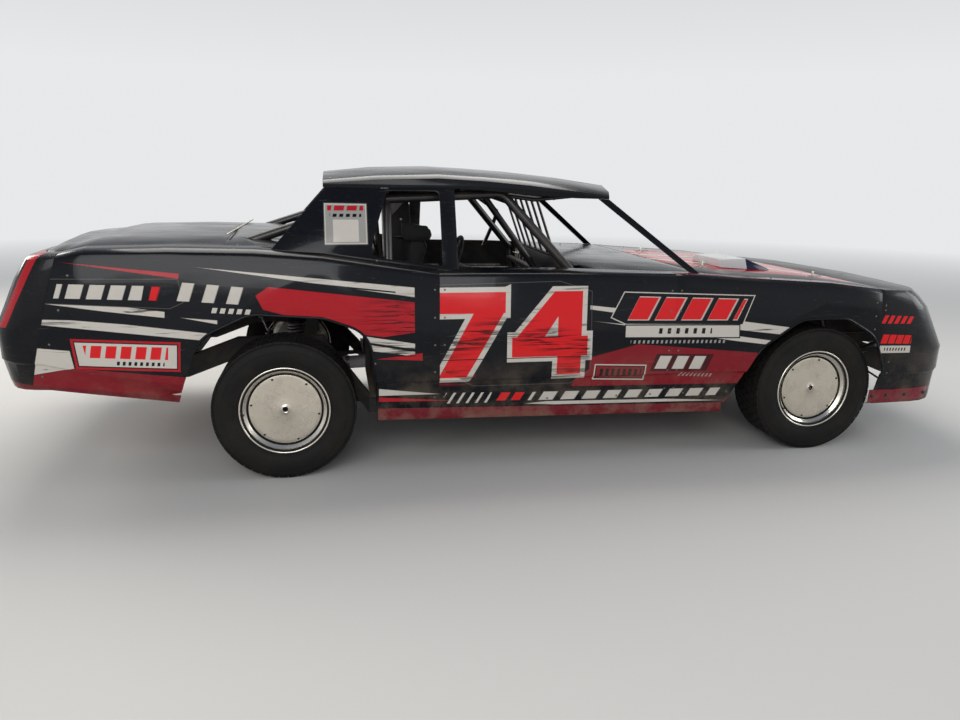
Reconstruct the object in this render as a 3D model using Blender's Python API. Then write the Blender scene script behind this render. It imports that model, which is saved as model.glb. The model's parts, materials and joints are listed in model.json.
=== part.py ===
"""Dirt-track stock car on a perimeter frame, built as an assembly of named pieces.

Run with blender --background --python part.py, or from Blender's text editor. Metres, +X to the front, +Y to the
car's left, +Z up. Stations along the car are measured from the rear axle, as the frame shop does, and the datum
empty carries them to the row frame, whose origin is on the floor at the middle of the overall length.
"""

import math

import bmesh
import bpy
from mathutils import Matrix, Vector

# Driving dimensions
WHEELBASE = 2.743
OVERALL_LENGTH = 4.930
REAR_OVERHANG = 1.255
BODY_HALF_WIDTH = 0.920
SHEET = 0.004
SEAM = 0.0006
TOUCH = 0.0003
LID_GAP = 0.006
HOLE_GAP = 0.0008
HINGE_GAP = 0.0008

# Wheels and tyres
TYRE_RADIUS = 0.335
WHEEL_Y = 0.7555
RIM_WIDTH = 0.229
RIM_RADIUS = 0.2110
BEAD_RADIUS = 0.1905
WEB_AT = 0.010
WEB_THICK = 0.008
COVER_INSET = 0.030
COVER_HOLE = 0.012
COVER_RADIUS = 0.167
COVER_STEP = 0.009
STUB_RADIUS = 0.030
WHEEL_SIDES = 28

# Steering
KINGPIN_Y = 0.655
KINGPIN_RADIUS = 0.024
KNUCKLE_LOW = 0.205
KNUCKLE_HIGH = 0.455
ARM_REACH = 0.150
ARM_END_Y = 0.590
ARM_TOP = 0.262
ARM_THICK = 0.016
LINK_RADIUS = 0.012
STEERING_WHEEL_RADIUS = 0.180
STEERING_WHEEL_AT = (0.980, 0.395, 0.880)
COLUMN_ANGLE = 20.0
COLUMN_RADIUS = 0.016
COLUMN_LENGTH = 1.120

# Body panels
EDGE_INSET = 0.042
FLANGE_INSET = 0.121
HOOD_REAR = 2.070
HOOD_FRONT = 3.120
HOOD_CROWN = 0.004
COWL_REAR = 1.480
COWL_FRONT = 2.058
DECK_HINGE_X = -0.240
DECK_CROWN = 0.034
DECK_FRONT = 0.450
DOOR_REAR = 0.722
DOOR_FRONT = 1.900
NOSE_SEAM = 3.060
TAIL_SEAM_TOP = -0.905
TAIL_SEAM_LOW = -1.055

# Greenhouse
ROOF_HALF_WIDTH = 0.700
ROOF_BOW = 0.110
ROOF_BOW_FROM = 1.000
SAIL_INSET = 0.075
WINDOW_SILL = 0.016
WINDOW_TOP = 1.340
A_POST_FOOT_X = 2.020
A_POST_INSET = 0.078
A_POST_TOP_X = 1.574
A_POST_LENGTH = 0.050
A_POST_THICK = 0.022

# Frame, floor and cage
RAIL_WIDTH = 0.055
RAIL_HEIGHT = 0.100
RAIL_MID_Y = 0.610
RAIL_MID_Z = 0.285
RAIL_FRONT_Y = 0.385
RAIL_FRONT_Z = 0.360
RAIL_REAR_Y = 0.480
RAIL_REAR_Z = 0.470
RAIL_KICK_Z = 0.560
FLOOR_REAR = 0.402
FLOOR_FRONT = 1.955
FLOOR_HALF_WIDTH = 0.700
CLIP_X = 2.000
FIREWALL_X = 1.940
REAR_BULKHEAD_X = 0.430
BULKHEAD_HALF_WIDTH = 0.660
TUNNEL_HALF_WIDTH = 0.150
TUNNEL_TOP = 0.560
CAGE_RADIUS = 0.0225
BRACE_RADIUS = 0.0190
HOOP_X = 0.500
HARNESS_BAR_Z = 0.850
DOOR_BAR_BOW_X = 0.980
HALO_FRONT_X = 1.080
DASH_X = 1.420
DASH_Z = 0.880
CAGE_TOP_Y = 0.590
CAGE_BELT_Y = 0.700
CAGE_FOOT_Y = 0.620
CAGE_TOP_Z = 1.310
CAGE_BELT_Z = 0.960
DECK_TUBE_X = -0.150
DECK_TUBE_Y = 0.580
LEG_FOOT_X = 1.470
DOOR_BAR_BOW = 0.040
STAY_RADIUS = 0.0095
SCREEN_RODS = 7
SCREEN_FIRST_Y = -0.240
SCREEN_PITCH = 0.130
SCREEN_ROD_RADIUS = 0.0075
SCREEN_TOP = (1.345, 1.3105)
SCREEN_FOOT_X = 1.462
SCREEN_BAR_END = 0.020
DASH_LOW = 0.790
DASH_HALF_WIDTH = 0.640
HOOP_BAR_Z = 0.822
PIN_RADIUS = 0.006
PIN_HEIGHT = 0.035
PIN_GAP = 0.0016

# Running gear
AXLE_TUBE_RADIUS = 0.040
DIFF_RADIUS = 0.135
SPRING_Y = 0.480
SPRING_RADIUS = 0.060
ENGINE_REAR = 2.120
ENGINE_FRONT = 2.880
ENGINE_HALF_WIDTH = 0.290
ENGINE_TOP = 0.790
GEARBOX_REAR = 1.450
GEARBOX_RADIUS = 0.115
SHAFT_Z = 0.385
SHAFT_RADIUS = 0.038
PINION_X = 0.240
AXLE_HALF_LENGTH = 0.620
DIFF_HALF_WIDTH = 0.080
DIFF_SHOULDER = 0.130
SPRING_SEAT = 0.060
# Columns: rear station, front station, half width, height
FUEL_CELL = (-0.960, -0.520, 0.320, 0.240)
RADIATOR = (3.085, 3.140, 0.330, 0.330)
# Columns: half width, lower edge, upper edge
NOSE_MOUTH = (0.420, 0.385, 0.520)

REAR_AXLE_X = REAR_OVERHANG - OVERALL_LENGTH / 2
FRONT_OVERHANG = OVERALL_LENGTH - REAR_OVERHANG - WHEELBASE
NOSE_TIP = WHEELBASE + FRONT_OVERHANG
SAIL_FOOT_Y = BODY_HALF_WIDTH - SAIL_INSET
A_POST_FOOT_Y = BODY_HALF_WIDTH - A_POST_INSET
FLAT_ANGLE = math.pi / WHEEL_SIDES

for old in list(bpy.data.objects):
    bpy.data.objects.remove(old)

DATUM = bpy.data.objects.new("rear_axle_datum", None)
DATUM.location = (REAR_AXLE_X, 0, 0)
bpy.context.scene.collection.objects.link(DATUM)

PAINTS = {
    "body_black": ((0.012, 0.013, 0.017), 0.22, 0.0),
    "panel_red": ((0.42, 0.012, 0.022), 0.30, 0.0),
    "cage_black": ((0.012, 0.012, 0.014), 0.38, 0.0),
    "frame_black": ((0.020, 0.020, 0.022), 0.55, 0.0),
    "bare_aluminium": ((0.62, 0.60, 0.56), 0.32, 1.0),
    "cast_grey": ((0.16, 0.16, 0.17), 0.55, 0.6),
    "tyre_black": ((0.018, 0.018, 0.019), 0.85, 0.0),
    "scoop_silver": ((0.62, 0.62, 0.62), 0.30, 0.0),
    "seat_vinyl": ((0.020, 0.020, 0.022), 0.60, 0.0),
}


def paint(name):
    """The Principled material of one finish, made once."""
    if name in bpy.data.materials:
        return bpy.data.materials[name]
    colour, roughness, metallic = PAINTS[name]
    material = bpy.data.materials.new(name)
    material.use_nodes = True
    shader = material.node_tree.nodes["Principled BSDF"]
    shader.inputs["Base Color"].default_value = (*colour, 1)
    shader.inputs["Roughness"].default_value = roughness
    shader.inputs["Metallic"].default_value = metallic
    return material


def place(mesh, name, finish=None, at=(0, 0, 0), parent=DATUM, smooth=35):
    """Links a mesh as a named object; its points are given from the datum and its origin is put at `at`."""
    mesh.transform(Matrix.Translation(-Vector(at)))
    made = bpy.data.objects.new(name, mesh)
    made.location = at
    made.parent = parent
    bpy.context.scene.collection.objects.link(made)
    if finish:
        mesh.materials.clear()
        mesh.materials.append(paint(finish))
        mesh.shade_smooth()
        mesh.set_sharp_from_angle(angle=math.radians(smooth))
    return made


def mesh_of(bm, name="shape"):
    """A mesh from a bmesh, with its faces turned outwards."""
    bmesh.ops.recalc_face_normals(bm, faces=bm.faces)
    mesh = bpy.data.meshes.new(name)
    bm.to_mesh(mesh)
    bm.free()
    return mesh


def loft(sections, ring=False):
    """A closed solid through like rings of points; the ends are capped, or joined when ring is set."""
    bm = bmesh.new()
    rows = [[bm.verts.new(p) for p in section] for section in sections]
    pairs = list(zip(rows, rows[1:])) + ([(rows[-1], rows[0])] if ring else [])
    for a, b in pairs:
        for i in range(len(a)):
            j = (i + 1) % len(a)
            bm.faces.new((a[i], a[j], b[j], b[i]))
    if not ring:
        bm.faces.new(rows[0])
        bm.faces.new(rows[-1])
    return mesh_of(bm)


def prism(outline, y0, y1):
    """A side-view outline of (x, z) points pushed through from y0 to y1."""
    return loft([[(x, y, z) for x, z in outline] for y in (y0, y1)])


def box(low, high):
    """A block between two corners."""
    (x0, y0, z0), (x1, y1, z1) = low, high
    return prism([(x0, z0), (x1, z0), (x1, z1), (x0, z1)], y0, y1)


def rounded(corners, chords=4):
    """An outline from corners (x, z, radius), or (x, z, radius, chords): a radius makes an arc of chords."""
    points = []
    count = len(corners)
    for i, (x, z, radius, *own) in enumerate(corners):
        steps = own[0] if own else chords
        here = Vector((x, z))
        if not radius:
            points.append((x, z))
            continue
        before = Vector(corners[i - 1][:2]) - here
        after = Vector(corners[(i + 1) % count][:2]) - here
        half = before.angle(after) / 2
        back = min(radius / math.tan(half), 0.49 * before.length, 0.49 * after.length)
        start = here + before.normalized() * back
        end = here + after.normalized() * back
        reach = back * math.tan(half)
        centre = here + (before.normalized() + after.normalized()).normalized() * (reach / math.sin(half))
        turn = (start - centre).angle_signed(end - centre)
        for k in range(steps + 1):
            points.append(tuple(centre + Matrix.Rotation(-turn * k / steps, 2) @ (start - centre)))
    return points


def turned(profile, centre, sides=WHEEL_SIDES, outward=1):
    """A turned ring about an axis along Y through centre; profile points are (distance along the axis, radius)."""
    bm = bmesh.new()
    rings = []
    for k in range(sides):
        a = 2 * math.pi * k / sides + FLAT_ANGLE
        rings.append(
            [
                bm.verts.new(
                    (centre[0] + r * math.sin(a), centre[1] + outward * w, centre[2] - r * math.cos(a))
                )
                for w, r in profile
            ]
        )
    for a, b in zip(rings, rings[1:] + rings[:1]):
        for i in range(len(profile)):
            j = (i + 1) % len(profile)
            bm.faces.new((a[i], a[j], b[j], b[i]))
    return mesh_of(bm)


def rod(points, radius, sides=8):
    """A round bar along a polyline, from a bevelled curve with filled caps."""
    curve = bpy.data.curves.new("rod", "CURVE")
    curve.dimensions = "3D"
    curve.bevel_depth = radius
    curve.bevel_resolution = sides // 2 - 2
    curve.use_fill_caps = True
    spline = curve.splines.new("POLY")
    spline.points.add(len(points) - 1)
    for target, point in zip(spline.points, points):
        target.co = (*point, 1)
    holder = bpy.data.objects.new("rod", curve)
    bpy.context.scene.collection.objects.link(holder)
    graph = bpy.context.evaluated_depsgraph_get()
    mesh = bpy.data.meshes.new_from_object(holder.evaluated_get(graph))
    bpy.data.objects.remove(holder)
    bm = bmesh.new()
    bm.from_mesh(mesh)
    bmesh.ops.remove_doubles(bm, verts=bm.verts, dist=1e-6)
    return mesh_of(bm)


def shaft_along(rear, front, radius, sides=12):
    """A round bar that runs along the car, with upright ends."""
    turns = [2 * math.pi * k / sides for k in range(sides)]
    rings = []
    for x, y, z in (rear, front):
        rings.append([(x, y + radius * math.sin(t), z + radius * math.cos(t)) for t in turns])
    return loft(rings)


def bolt_round(low, high, radius, sides=16):
    """A plain round bar between two points, with its flats square to its axis."""
    a, b = Vector(low), Vector(high)
    turn = (b - a).to_track_quat("Z", "Y").to_matrix()
    rings = []
    for end in (a, b):
        rings.append(
            [
                end + turn @ Vector((radius * math.cos(t), radius * math.sin(t), 0))
                for t in [2 * math.pi * k / sides for k in range(sides)]
            ]
        )
    return loft(rings)


def combine(base, others, operation="UNION"):
    """Joins meshes to base, or cuts them from it, by exact Booleans; returns the new mesh."""
    holder = bpy.data.objects.new("base", base)
    bpy.context.scene.collection.objects.link(holder)
    for other in others:
        tool = bpy.data.objects.new("tool", other)
        bpy.context.scene.collection.objects.link(tool)
        modifier = holder.modifiers.new("combine", "BOOLEAN")
        modifier.operation = operation
        modifier.solver = "EXACT"
        modifier.object = tool
        graph = bpy.context.evaluated_depsgraph_get()
        mesh = bpy.data.meshes.new_from_object(holder.evaluated_get(graph))
        holder.modifiers.clear()
        holder.data = mesh
        bpy.data.objects.remove(tool)
    mesh = holder.data
    bpy.data.objects.remove(holder)
    return mesh


def mirrored(mesh):
    """A left-hand copy of a right-hand mesh, or the other way round."""
    bm = bmesh.new()
    bm.from_mesh(mesh)
    bmesh.ops.scale(bm, vec=(1, -1, 1), verts=bm.verts)
    bmesh.ops.reverse_faces(bm, faces=bm.faces)
    copy = bpy.data.meshes.new("mirrored")
    bm.to_mesh(copy)
    bm.free()
    return copy


def both_sides(name, mesh, finish, smooth=35):
    """A right-hand piece, and its mirror image on the left."""
    other = mirrored(mesh)
    place(mesh, name + "_right", finish, smooth=smooth)
    place(other, name + "_left", finish, smooth=smooth)


def between(table, x):
    """Straight-line reading of a table of rows whose first column is the station."""
    if x <= table[0][0]:
        return table[0][1:]
    for a, b in zip(table, table[1:]):
        if x <= b[0]:
            t = (x - a[0]) / (b[0] - a[0])
            return tuple(p + (q - p) * t for p, q in zip(a[1:], b[1:]))
    return table[-1][1:]


# The body skin
# Columns: station, hem height, lip height, low crease, high crease, shoulder drop, roll drop, top edge, flange rise
BODY_STATIONS = (
    (-1.255, 0.487, 0.522, 0.610, 0.770, 0.100, 0.014, 1.056, 0.010),
    (-1.000, 0.478, 0.515, 0.590, 0.740, 0.070, 0.013, 1.060, 0.012),
    (-0.800, 0.450, 0.487, 0.540, 0.660, 0.034, 0.012, 1.082, 0.014),
    (-0.461, 0.403, 0.440, 0.480, 0.580, 0.034, 0.012, 1.088, 0.014),
    (-0.100, 0.360, 0.390, 0.460, 0.572, 0.034, 0.012, 1.080, 0.014),
    (0.200, 0.345, 0.370, 0.458, 0.570, 0.034, 0.012, 1.056, 0.014),
    (0.450, 0.332, 0.352, 0.456, 0.568, 0.034, 0.012, 1.018, 0.014),
    (DOOR_REAR, 0.326, 0.346, 0.456, 0.566, 0.034, 0.012, 0.980, 0.014),
    (1.300, 0.312, 0.332, 0.454, 0.560, 0.034, 0.012, 0.976, 0.010),
    (2.000, 0.295, 0.315, 0.450, 0.555, 0.056, 0.012, 0.956, 0.003),
    (2.220, 0.289, 0.310, 0.450, 0.555, 0.070, 0.013, 0.940, 0.001),
    (2.770, 0.260, 0.312, 0.430, 0.550, 0.070, 0.015, 0.904, 0.001),
    (NOSE_SEAM, 0.245, 0.312, 0.410, 0.545, 0.068, 0.020, 0.868, 0.001),
    (HOOD_FRONT, 0.244, 0.312, 0.405, 0.543, 0.070, 0.024, 0.862, 0.001),
    (NOSE_TIP, 0.243, 0.312, 0.400, 0.540, 0.098, 0.040, 0.848, 0.001),
)
# Rows of the skin from hem to inner flange: inset on the sides, inset across the nose, inset across the tail
SKIN_ROWS = {
    "hem": (0.030, 0.004, 0.030),
    "lip": (0.027, 0.001, 0.018),
    "low_crease": (0.016, 0.002, 0.004),
    "step": (0.004, 0.001, 0.002),
    "high_crease": (0.000, 0.000, 0.000),
    "shoulder": (0.012, 0.112, 0.100),
    "roll": (0.022, 0.160, 0.150),
    "edge": (EDGE_INSET, 0.195, 0.165),
    "flange": (FLANGE_INSET, 0.000, 0.210),
}
STEP_RISE = 0.012
# The insets of the ends fade in between these stations, and those of the sides from the middle to this half width
NOSE_RUN = (NOSE_SEAM, 3.500)
TAIL_RUN = (-0.800, -1.230)
SIDE_RUN = 0.500
# Plan view of the skin at its widest, from the tail's middle to the nose's middle: x, y, corner radius, chords
PLAN = (
    (-REAR_OVERHANG, 0.0, 0, 1),
    (-REAR_OVERHANG + 0.030, 0.600, 0.5, 1),
    (-REAR_OVERHANG + 0.075, BODY_HALF_WIDTH - 0.010, 0.135, 4),
    (-0.600, BODY_HALF_WIDTH, 0, 1),
    (2.900, BODY_HALF_WIDTH, 0, 1),
    (NOSE_TIP - 0.115, BODY_HALF_WIDTH - 0.018, 0.270, 5),
    (NOSE_TIP - 0.040, 0.420, 0.5, 2),
    (NOSE_TIP, 0.0, 0, 1),
)


def plan_columns():
    """Plan points of one side of the skin, with a column at each station between the corners."""
    closed = rounded([*PLAN, (NOSE_TIP, -1.0, 0, 1), (-REAR_OVERHANG, -1.0, 0, 1)])
    path = [p for p in closed if p[1] >= 0]
    dense = [path[0]]
    for a, b in zip(path, path[1:]):
        stops = [s[0] for s in BODY_STATIONS if min(a[0], b[0]) + 0.02 < s[0] < max(a[0], b[0]) - 0.02]
        for x in stops if b[0] > a[0] else reversed(stops):
            t = (x - a[0]) / (b[0] - a[0])
            dense.append((x, a[1] + (b[1] - a[1]) * t))
        dense.append(b)
    return dense


def share_of(run, x):
    """How far a station lies along a run, from 0 to 1."""
    start, end = run
    return min(1.0, max(0.0, (x - start) / (end - start)))


def drawn_in(x, y, insets):
    """A plan point moved in from the side, the nose and the tail, each along its own axis."""
    side, nose, tail = insets
    along = x - nose * share_of(NOSE_RUN, x) + tail * share_of(TAIL_RUN, x)
    return along, y - side * share_of((0.0, SIDE_RUN), y)


def flange_point(x, y, extra=0.0):
    """The skin's inner boundary at a plan point, `extra` further in; at the nose, the hood's front edge."""
    side, nose, tail = SKIN_ROWS["flange"]
    px, py = drawn_in(x, y, (side + extra, nose, tail + extra))
    px = min(px, HOOD_FRONT)
    *_, edge, rise = between(BODY_STATIONS, px if x > HOOD_FRONT else x)
    crown = HOOD_CROWN * (1 - (py / (BODY_HALF_WIDTH - side)) ** 2) if x > HOOD_FRONT else 0.0
    return px, py, edge + rise + crown


def skin_column(x, y):
    """The skin's points at one plan point, from the hem up and in to the flange."""
    hem, lip, low, high, shoulder, roll, edge, _ = between(BODY_STATIONS, x)
    heights = {
        "hem": hem,
        "lip": lip,
        "low_crease": low,
        "step": low + STEP_RISE,
        "high_crease": high,
        "shoulder": edge - shoulder,
        "roll": edge - roll,
        "edge": edge,
    }
    points = [(*drawn_in(x, y, SKIN_ROWS[row]), z) for row, z in heights.items()]
    return [*points, flange_point(x, y)]


def skin():
    """The whole body skin as one thin closed wall, both sides and ends, before the panels are cut from it."""
    half = [skin_column(x, y) for x, y in plan_columns()]
    other = [[(x, -y, z) for x, y, z in column] for column in reversed(half[1:-1])]
    columns = half + other
    bm = bmesh.new()
    grid = [[bm.verts.new(p) for p in column] for column in columns]
    for a, b in zip(grid, grid[1:] + grid[:1]):
        for i in range(len(a) - 1):
            bm.faces.new((a[i], a[i + 1], b[i + 1], b[i]))
    mesh = mesh_of(bm)
    holder = bpy.data.objects.new("skin", mesh)
    bpy.context.scene.collection.objects.link(holder)
    wall = holder.modifiers.new("wall", "SOLIDIFY")
    wall.thickness = SHEET
    wall.offset = -1
    wall.use_even_offset = True
    graph = bpy.context.evaluated_depsgraph_get()
    made = bpy.data.meshes.new_from_object(holder.evaluated_get(graph))
    bpy.data.objects.remove(holder)
    return made


SKIN = skin()
UNDER = 0.0
OVER = 1.3
SIDE_IN = BODY_HALF_WIDTH - 0.32
SIDE_OUT = BODY_HALF_WIDTH + 0.18

REAR_ARCH = [
    (-0.500, 0.300, 0),
    (-0.350, 0.700, 0.16),
    (-0.130, 0.802, 0.20),
    (0.190, 0.778, 0.30),
    (0.395, 0.705, 0.14),
    (0.430, 0.450, 0.20),
    (0.427, 0.200, 0),
]
FRONT_ARCH = [
    (2.175, 0.220, 0),
    (2.385, 0.580, 0.12),
    (2.600, 0.722, 0.20),
    (2.860, 0.724, 0.16),
    (3.040, 0.625, 0.12),
    (3.118, 0.440, 0.14),
    (3.085, 0.200, 0),
]


def arch(corners):
    """A wheel arch cutter through one side of the body."""
    low = [(corners[-1][0], UNDER - 0.1, 0), (corners[0][0], UNDER - 0.1, 0)]
    return prism(rounded(corners + low), -SIDE_OUT, -SIDE_IN + 0.05)


def tail_seam(z):
    """Station of the slanted seam between the quarter panel and the tail cover."""
    top, low = 1.06, 0.50
    return TAIL_SEAM_TOP + (TAIL_SEAM_LOW - TAIL_SEAM_TOP) * (top - z) / (top - low)


def side_panel(rear, front):
    """The right side of the skin between two seams given as ((x, z), (x, z)) from top to bottom."""
    outline = [rear[0], front[0], front[1], rear[1]]
    return combine(SKIN.copy(), [prism(outline, -SIDE_OUT, -SIDE_IN)], "INTERSECT")


def upright(x):
    """An upright seam at one station."""
    return ((x, OVER), (x, UNDER))


def body_sides():
    """Quarter panels, door skins and fenders, each cut from the skin between its seams."""
    gap = SEAM / 2
    rear = ((tail_seam(OVER) + gap, OVER), (tail_seam(UNDER) + gap, UNDER))
    quarter = side_panel(rear, upright(DOOR_REAR - gap))
    quarter = combine(quarter, [arch(REAR_ARCH)], "DIFFERENCE")
    both_sides("quarter_panel", quarter, "body_black")
    both_sides("door_skin", side_panel(upright(DOOR_REAR + gap), upright(DOOR_FRONT - gap)), "body_black")
    fender = side_panel(upright(DOOR_FRONT + gap), upright(NOSE_SEAM - gap))
    fender = combine(fender, [arch(FRONT_ARCH)], "DIFFERENCE")
    both_sides("fender", fender, "body_black")


def nose_and_tail():
    """The plastic nose with its air opening, and the tail cover."""
    gap = SEAM / 2
    front = [(NOSE_SEAM + gap, OVER), (NOSE_TIP + 0.1, OVER), (NOSE_TIP + 0.1, UNDER), (NOSE_SEAM + gap, UNDER)]
    nose = combine(SKIN.copy(), [prism(front, -SIDE_OUT, SIDE_OUT)], "INTERSECT")
    half, low, high = NOSE_MOUTH
    mouth = box((NOSE_TIP - 0.25, -half, low), (NOSE_TIP + 0.05, half, high))
    nose = combine(nose, [arch(FRONT_ARCH), mirrored(arch(FRONT_ARCH)), mouth], "DIFFERENCE")
    place(nose, "nose_cover", "body_black")
    rear = [
        (tail_seam(OVER) - gap, OVER),
        (tail_seam(UNDER) - gap, UNDER),
        (-REAR_OVERHANG - 0.1, UNDER),
        (-REAR_OVERHANG - 0.1, OVER),
    ]
    tail = combine(SKIN.copy(), [prism(rear, -SIDE_OUT, SIDE_OUT)], "INTERSECT")
    place(tail, "tail_cover", "body_black")


body_sides()
nose_and_tail()


# Covers that lie between the flanges
def flange_line(extra):
    """The skin's inner boundary, `extra` further in: (x, half width, height) from tail to nose."""
    return [flange_point(x, y, extra) for x, y in plan_columns()]


def flange_top(x, y):
    """Top of the side flange at a point between its two edges."""
    *_, edge, rise = between(BODY_STATIONS, x)
    return edge + rise * (BODY_HALF_WIDTH - EDGE_INSET - abs(y)) / (FLANGE_INSET - EDGE_INSET)


def crowned(stations, crown, steps=3):
    """A thin crowned sheet through (x, half width, edge height) stations."""
    sections = []
    for x, w, z in stations:
        shares = [k / steps for k in range(-steps, steps + 1)]
        top = [(x, t * w, z + crown * (1 - t * t)) for t in shares]
        low = [(px, py, pz - SHEET) for px, py, pz in reversed(top)]
        sections.append(top + low)
    return loft(sections)


def cover_stations(rear, front, extra, narrow=0.30):
    """Stations of the sheet that fills the flange opening between two stations along the car."""
    line = [p for p in flange_line(extra) if p[1] > narrow]
    picked = [p for p in line if rear + 0.02 < p[0] < front - 0.02]

    def at(x):
        (w, z) = between(line, x)
        return (x, w, z)

    ends = [at(rear)] if rear > line[0][0] else []
    tail = [at(front)] if front < line[-1][0] else []
    return ends + picked + tail


def crown_height(stations, crown, x, y, steps=3):
    """Top height of a crowned sheet at a point, on its chords."""
    w, z = between(stations, x)
    share = abs(y) / w * steps
    low = min(int(share), steps - 1)
    a, b = (1 - (k / steps) ** 2 for k in (low, low + 1))
    return z + crown * (a + (b - a) * (share - low))


DASH_TOP = sum(between(BODY_STATIONS, COWL_REAR)[-2:])
DECK_RISE = between(BODY_STATIONS, 0.0)[-1]
FIXED_GAP = SEAM + SHEET * DECK_RISE / (FLANGE_INSET - EDGE_INSET)
HOOD_STATIONS = cover_stations(HOOD_REAR, HOOD_FRONT - LID_GAP, LID_GAP)
DECK_STATIONS = cover_stations(DECK_HINGE_X + HINGE_GAP / 2, DECK_FRONT, FIXED_GAP)
LID_STATIONS = cover_stations(-REAR_OVERHANG, DECK_HINGE_X - HINGE_GAP / 2, LID_GAP)
COWL_STATIONS = cover_stations(COWL_REAR, COWL_FRONT, FIXED_GAP)
HOOD_PINS = ((2.260, -0.440), (2.260, 0.440), (2.870, -0.560), (2.870, 0.560))
SCOOP_Y = -0.250
# Columns: station of the rocker strip's end, height of its lower edge
ROCKER_ENDS = ((0.430, 0.275), (2.200, 0.243))
# Walls left solid at the bubble's thin front end
SCOOP_END_WALLS = 8
# Columns: station, height over the hood, half width at the foot, half width at the top
SCOOP_SECTIONS = (
    (2.385, 0.042, 0.180, 0.160),
    (2.540, 0.056, 0.180, 0.158),
    (2.690, 0.006, 0.166, 0.160),
)


def scoop_shape(wall):
    """The bubble over the air cleaner, drawn in by a wall on every side but its foot."""
    sections = []
    last = len(SCOOP_SECTIONS) - 1
    for i, (x, height, foot, top) in enumerate(SCOOP_SECTIONS):
        px = x + (wall if i == 0 else -SCOOP_END_WALLS * wall if i == last else 0)
        z = crown_height(HOOD_STATIONS, HOOD_CROWN, px, 0) + TOUCH
        low = z - (0.02 if wall else 0)
        high = z + between(SCOOP_SECTIONS, px)[0] - wall
        sections.append(
            [
                (px, SCOOP_Y - foot + wall, low),
                (px, SCOOP_Y + foot - wall, low),
                (px, SCOOP_Y + top - wall, high),
                (px, SCOOP_Y - top + wall, high),
            ]
        )
    return loft(sections)


def hood_and_decks():
    """Hood with its pin holes and bubble, cowl, fixed deck with the holes for the cage tubes, and the deck lid."""
    holes = [bolt_round((x, y, 0.8), (x, y, 1.1), PIN_RADIUS + 0.003, 8) for x, y in HOOD_PINS]
    hood = combine(crowned(HOOD_STATIONS, HOOD_CROWN), holes, "DIFFERENCE")
    place(hood, "hood", "body_black")
    scoop = combine(scoop_shape(0), [scoop_shape(SHEET)], "DIFFERENCE")
    place(scoop, "hood_scoop", "scoop_silver")
    place(crowned(COWL_STATIONS, HOOD_CROWN), "cowl_panel", "body_black")
    tubes = [rear_brace(side, CAGE_RADIUS + HOLE_GAP) for side in (-1, 1)]
    place(combine(crowned(DECK_STATIONS, DECK_CROWN), tubes, "DIFFERENCE"), "rear_deck_panel", "body_black")
    hinge = crown_height(LID_STATIONS, DECK_CROWN, DECK_HINGE_X, 0)
    place(crowned(LID_STATIONS, DECK_CROWN), "deck_lid", "body_black", at=(DECK_HINGE_X, 0, hinge))


def rocker_strips():
    """Red strips that hang under the doors and fenders, from one wheel arch to the next."""
    y = BODY_HALF_WIDTH - SKIN_ROWS["hem"][0]
    ends = [row[0] for row in ROCKER_ENDS]
    stations = sorted([*ends, *(s[0] for s in BODY_STATIONS if ends[0] + 0.02 < s[0] < ends[1] - 0.02)])
    sections = []
    for x in stations:
        top = between(BODY_STATIONS, x)[0] - SEAM
        (low,) = between(ROCKER_ENDS, x)
        sections.append([(x, -y, top), (x, -y + SHEET, top), (x, -y + SHEET, low), (x, -y, low)])
    both_sides("rocker_strip", loft(sections), "panel_red")


# Greenhouse
# Columns: station, edge height, centre height, depth of the side face
ROOF_STATIONS = (
    (0.205, 1.384, 1.428, 0.030),
    (0.450, 1.402, 1.454, 0.050),
    (0.748, 1.412, 1.464, 0.055),
    (0.969, 1.402, 1.455, 0.055),
    (1.194, 1.384, 1.441, 0.055),
    (1.427, 1.359, 1.415, 0.045),
    (1.600, 1.337, 1.385, 0.026),
)
# Stations of the quarter window's upper corners and of its sill, and the bend in its rear edge: station, height
WINDOW_STATIONS = (0.500, 0.746)
SILL_STATIONS = (0.746, 0.412)
WINDOW_BEND = (0.430, 1.130)


def roof():
    """Roof skin: crowned top, rolled edges and upright side faces, bowed forwards over the windscreen."""
    shares = (0, 0, 0.045, 0.25, 0.50, 0.75, 0.955, 1, 1)
    last = ROOF_STATIONS[-1][0]
    first = ROOF_STATIONS[0][0]
    sections = []
    for x, edge, centre, depth in ROOF_STATIONS:
        outer, inner = [], []
        forward = ROOF_BOW * max(0.0, (x - ROOF_BOW_FROM) / (last - ROOF_BOW_FROM)) ** 2
        for i, share in enumerate(shares):
            t = 2 * share - 1
            y = t * ROOF_HALF_WIDTH
            z = edge + (centre - edge) * (1 - abs(t) ** 2.2)
            px = x + forward * (1 - t * t)
            if i in (0, len(shares) - 1):
                z = edge - depth
            if i in (1, len(shares) - 2):
                z = edge - 0.012
            outer.append((px, y, z))
            side = SHEET * (-1 if t > 0 else 1) if abs(t) == 1 else 0
            inner.append((px, y + side, z - (0 if i in (0, len(shares) - 1) else SHEET)))
        sections.append(outer + inner[::-1])
    place(loft(sections), "roof_panel", "body_black")


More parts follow.
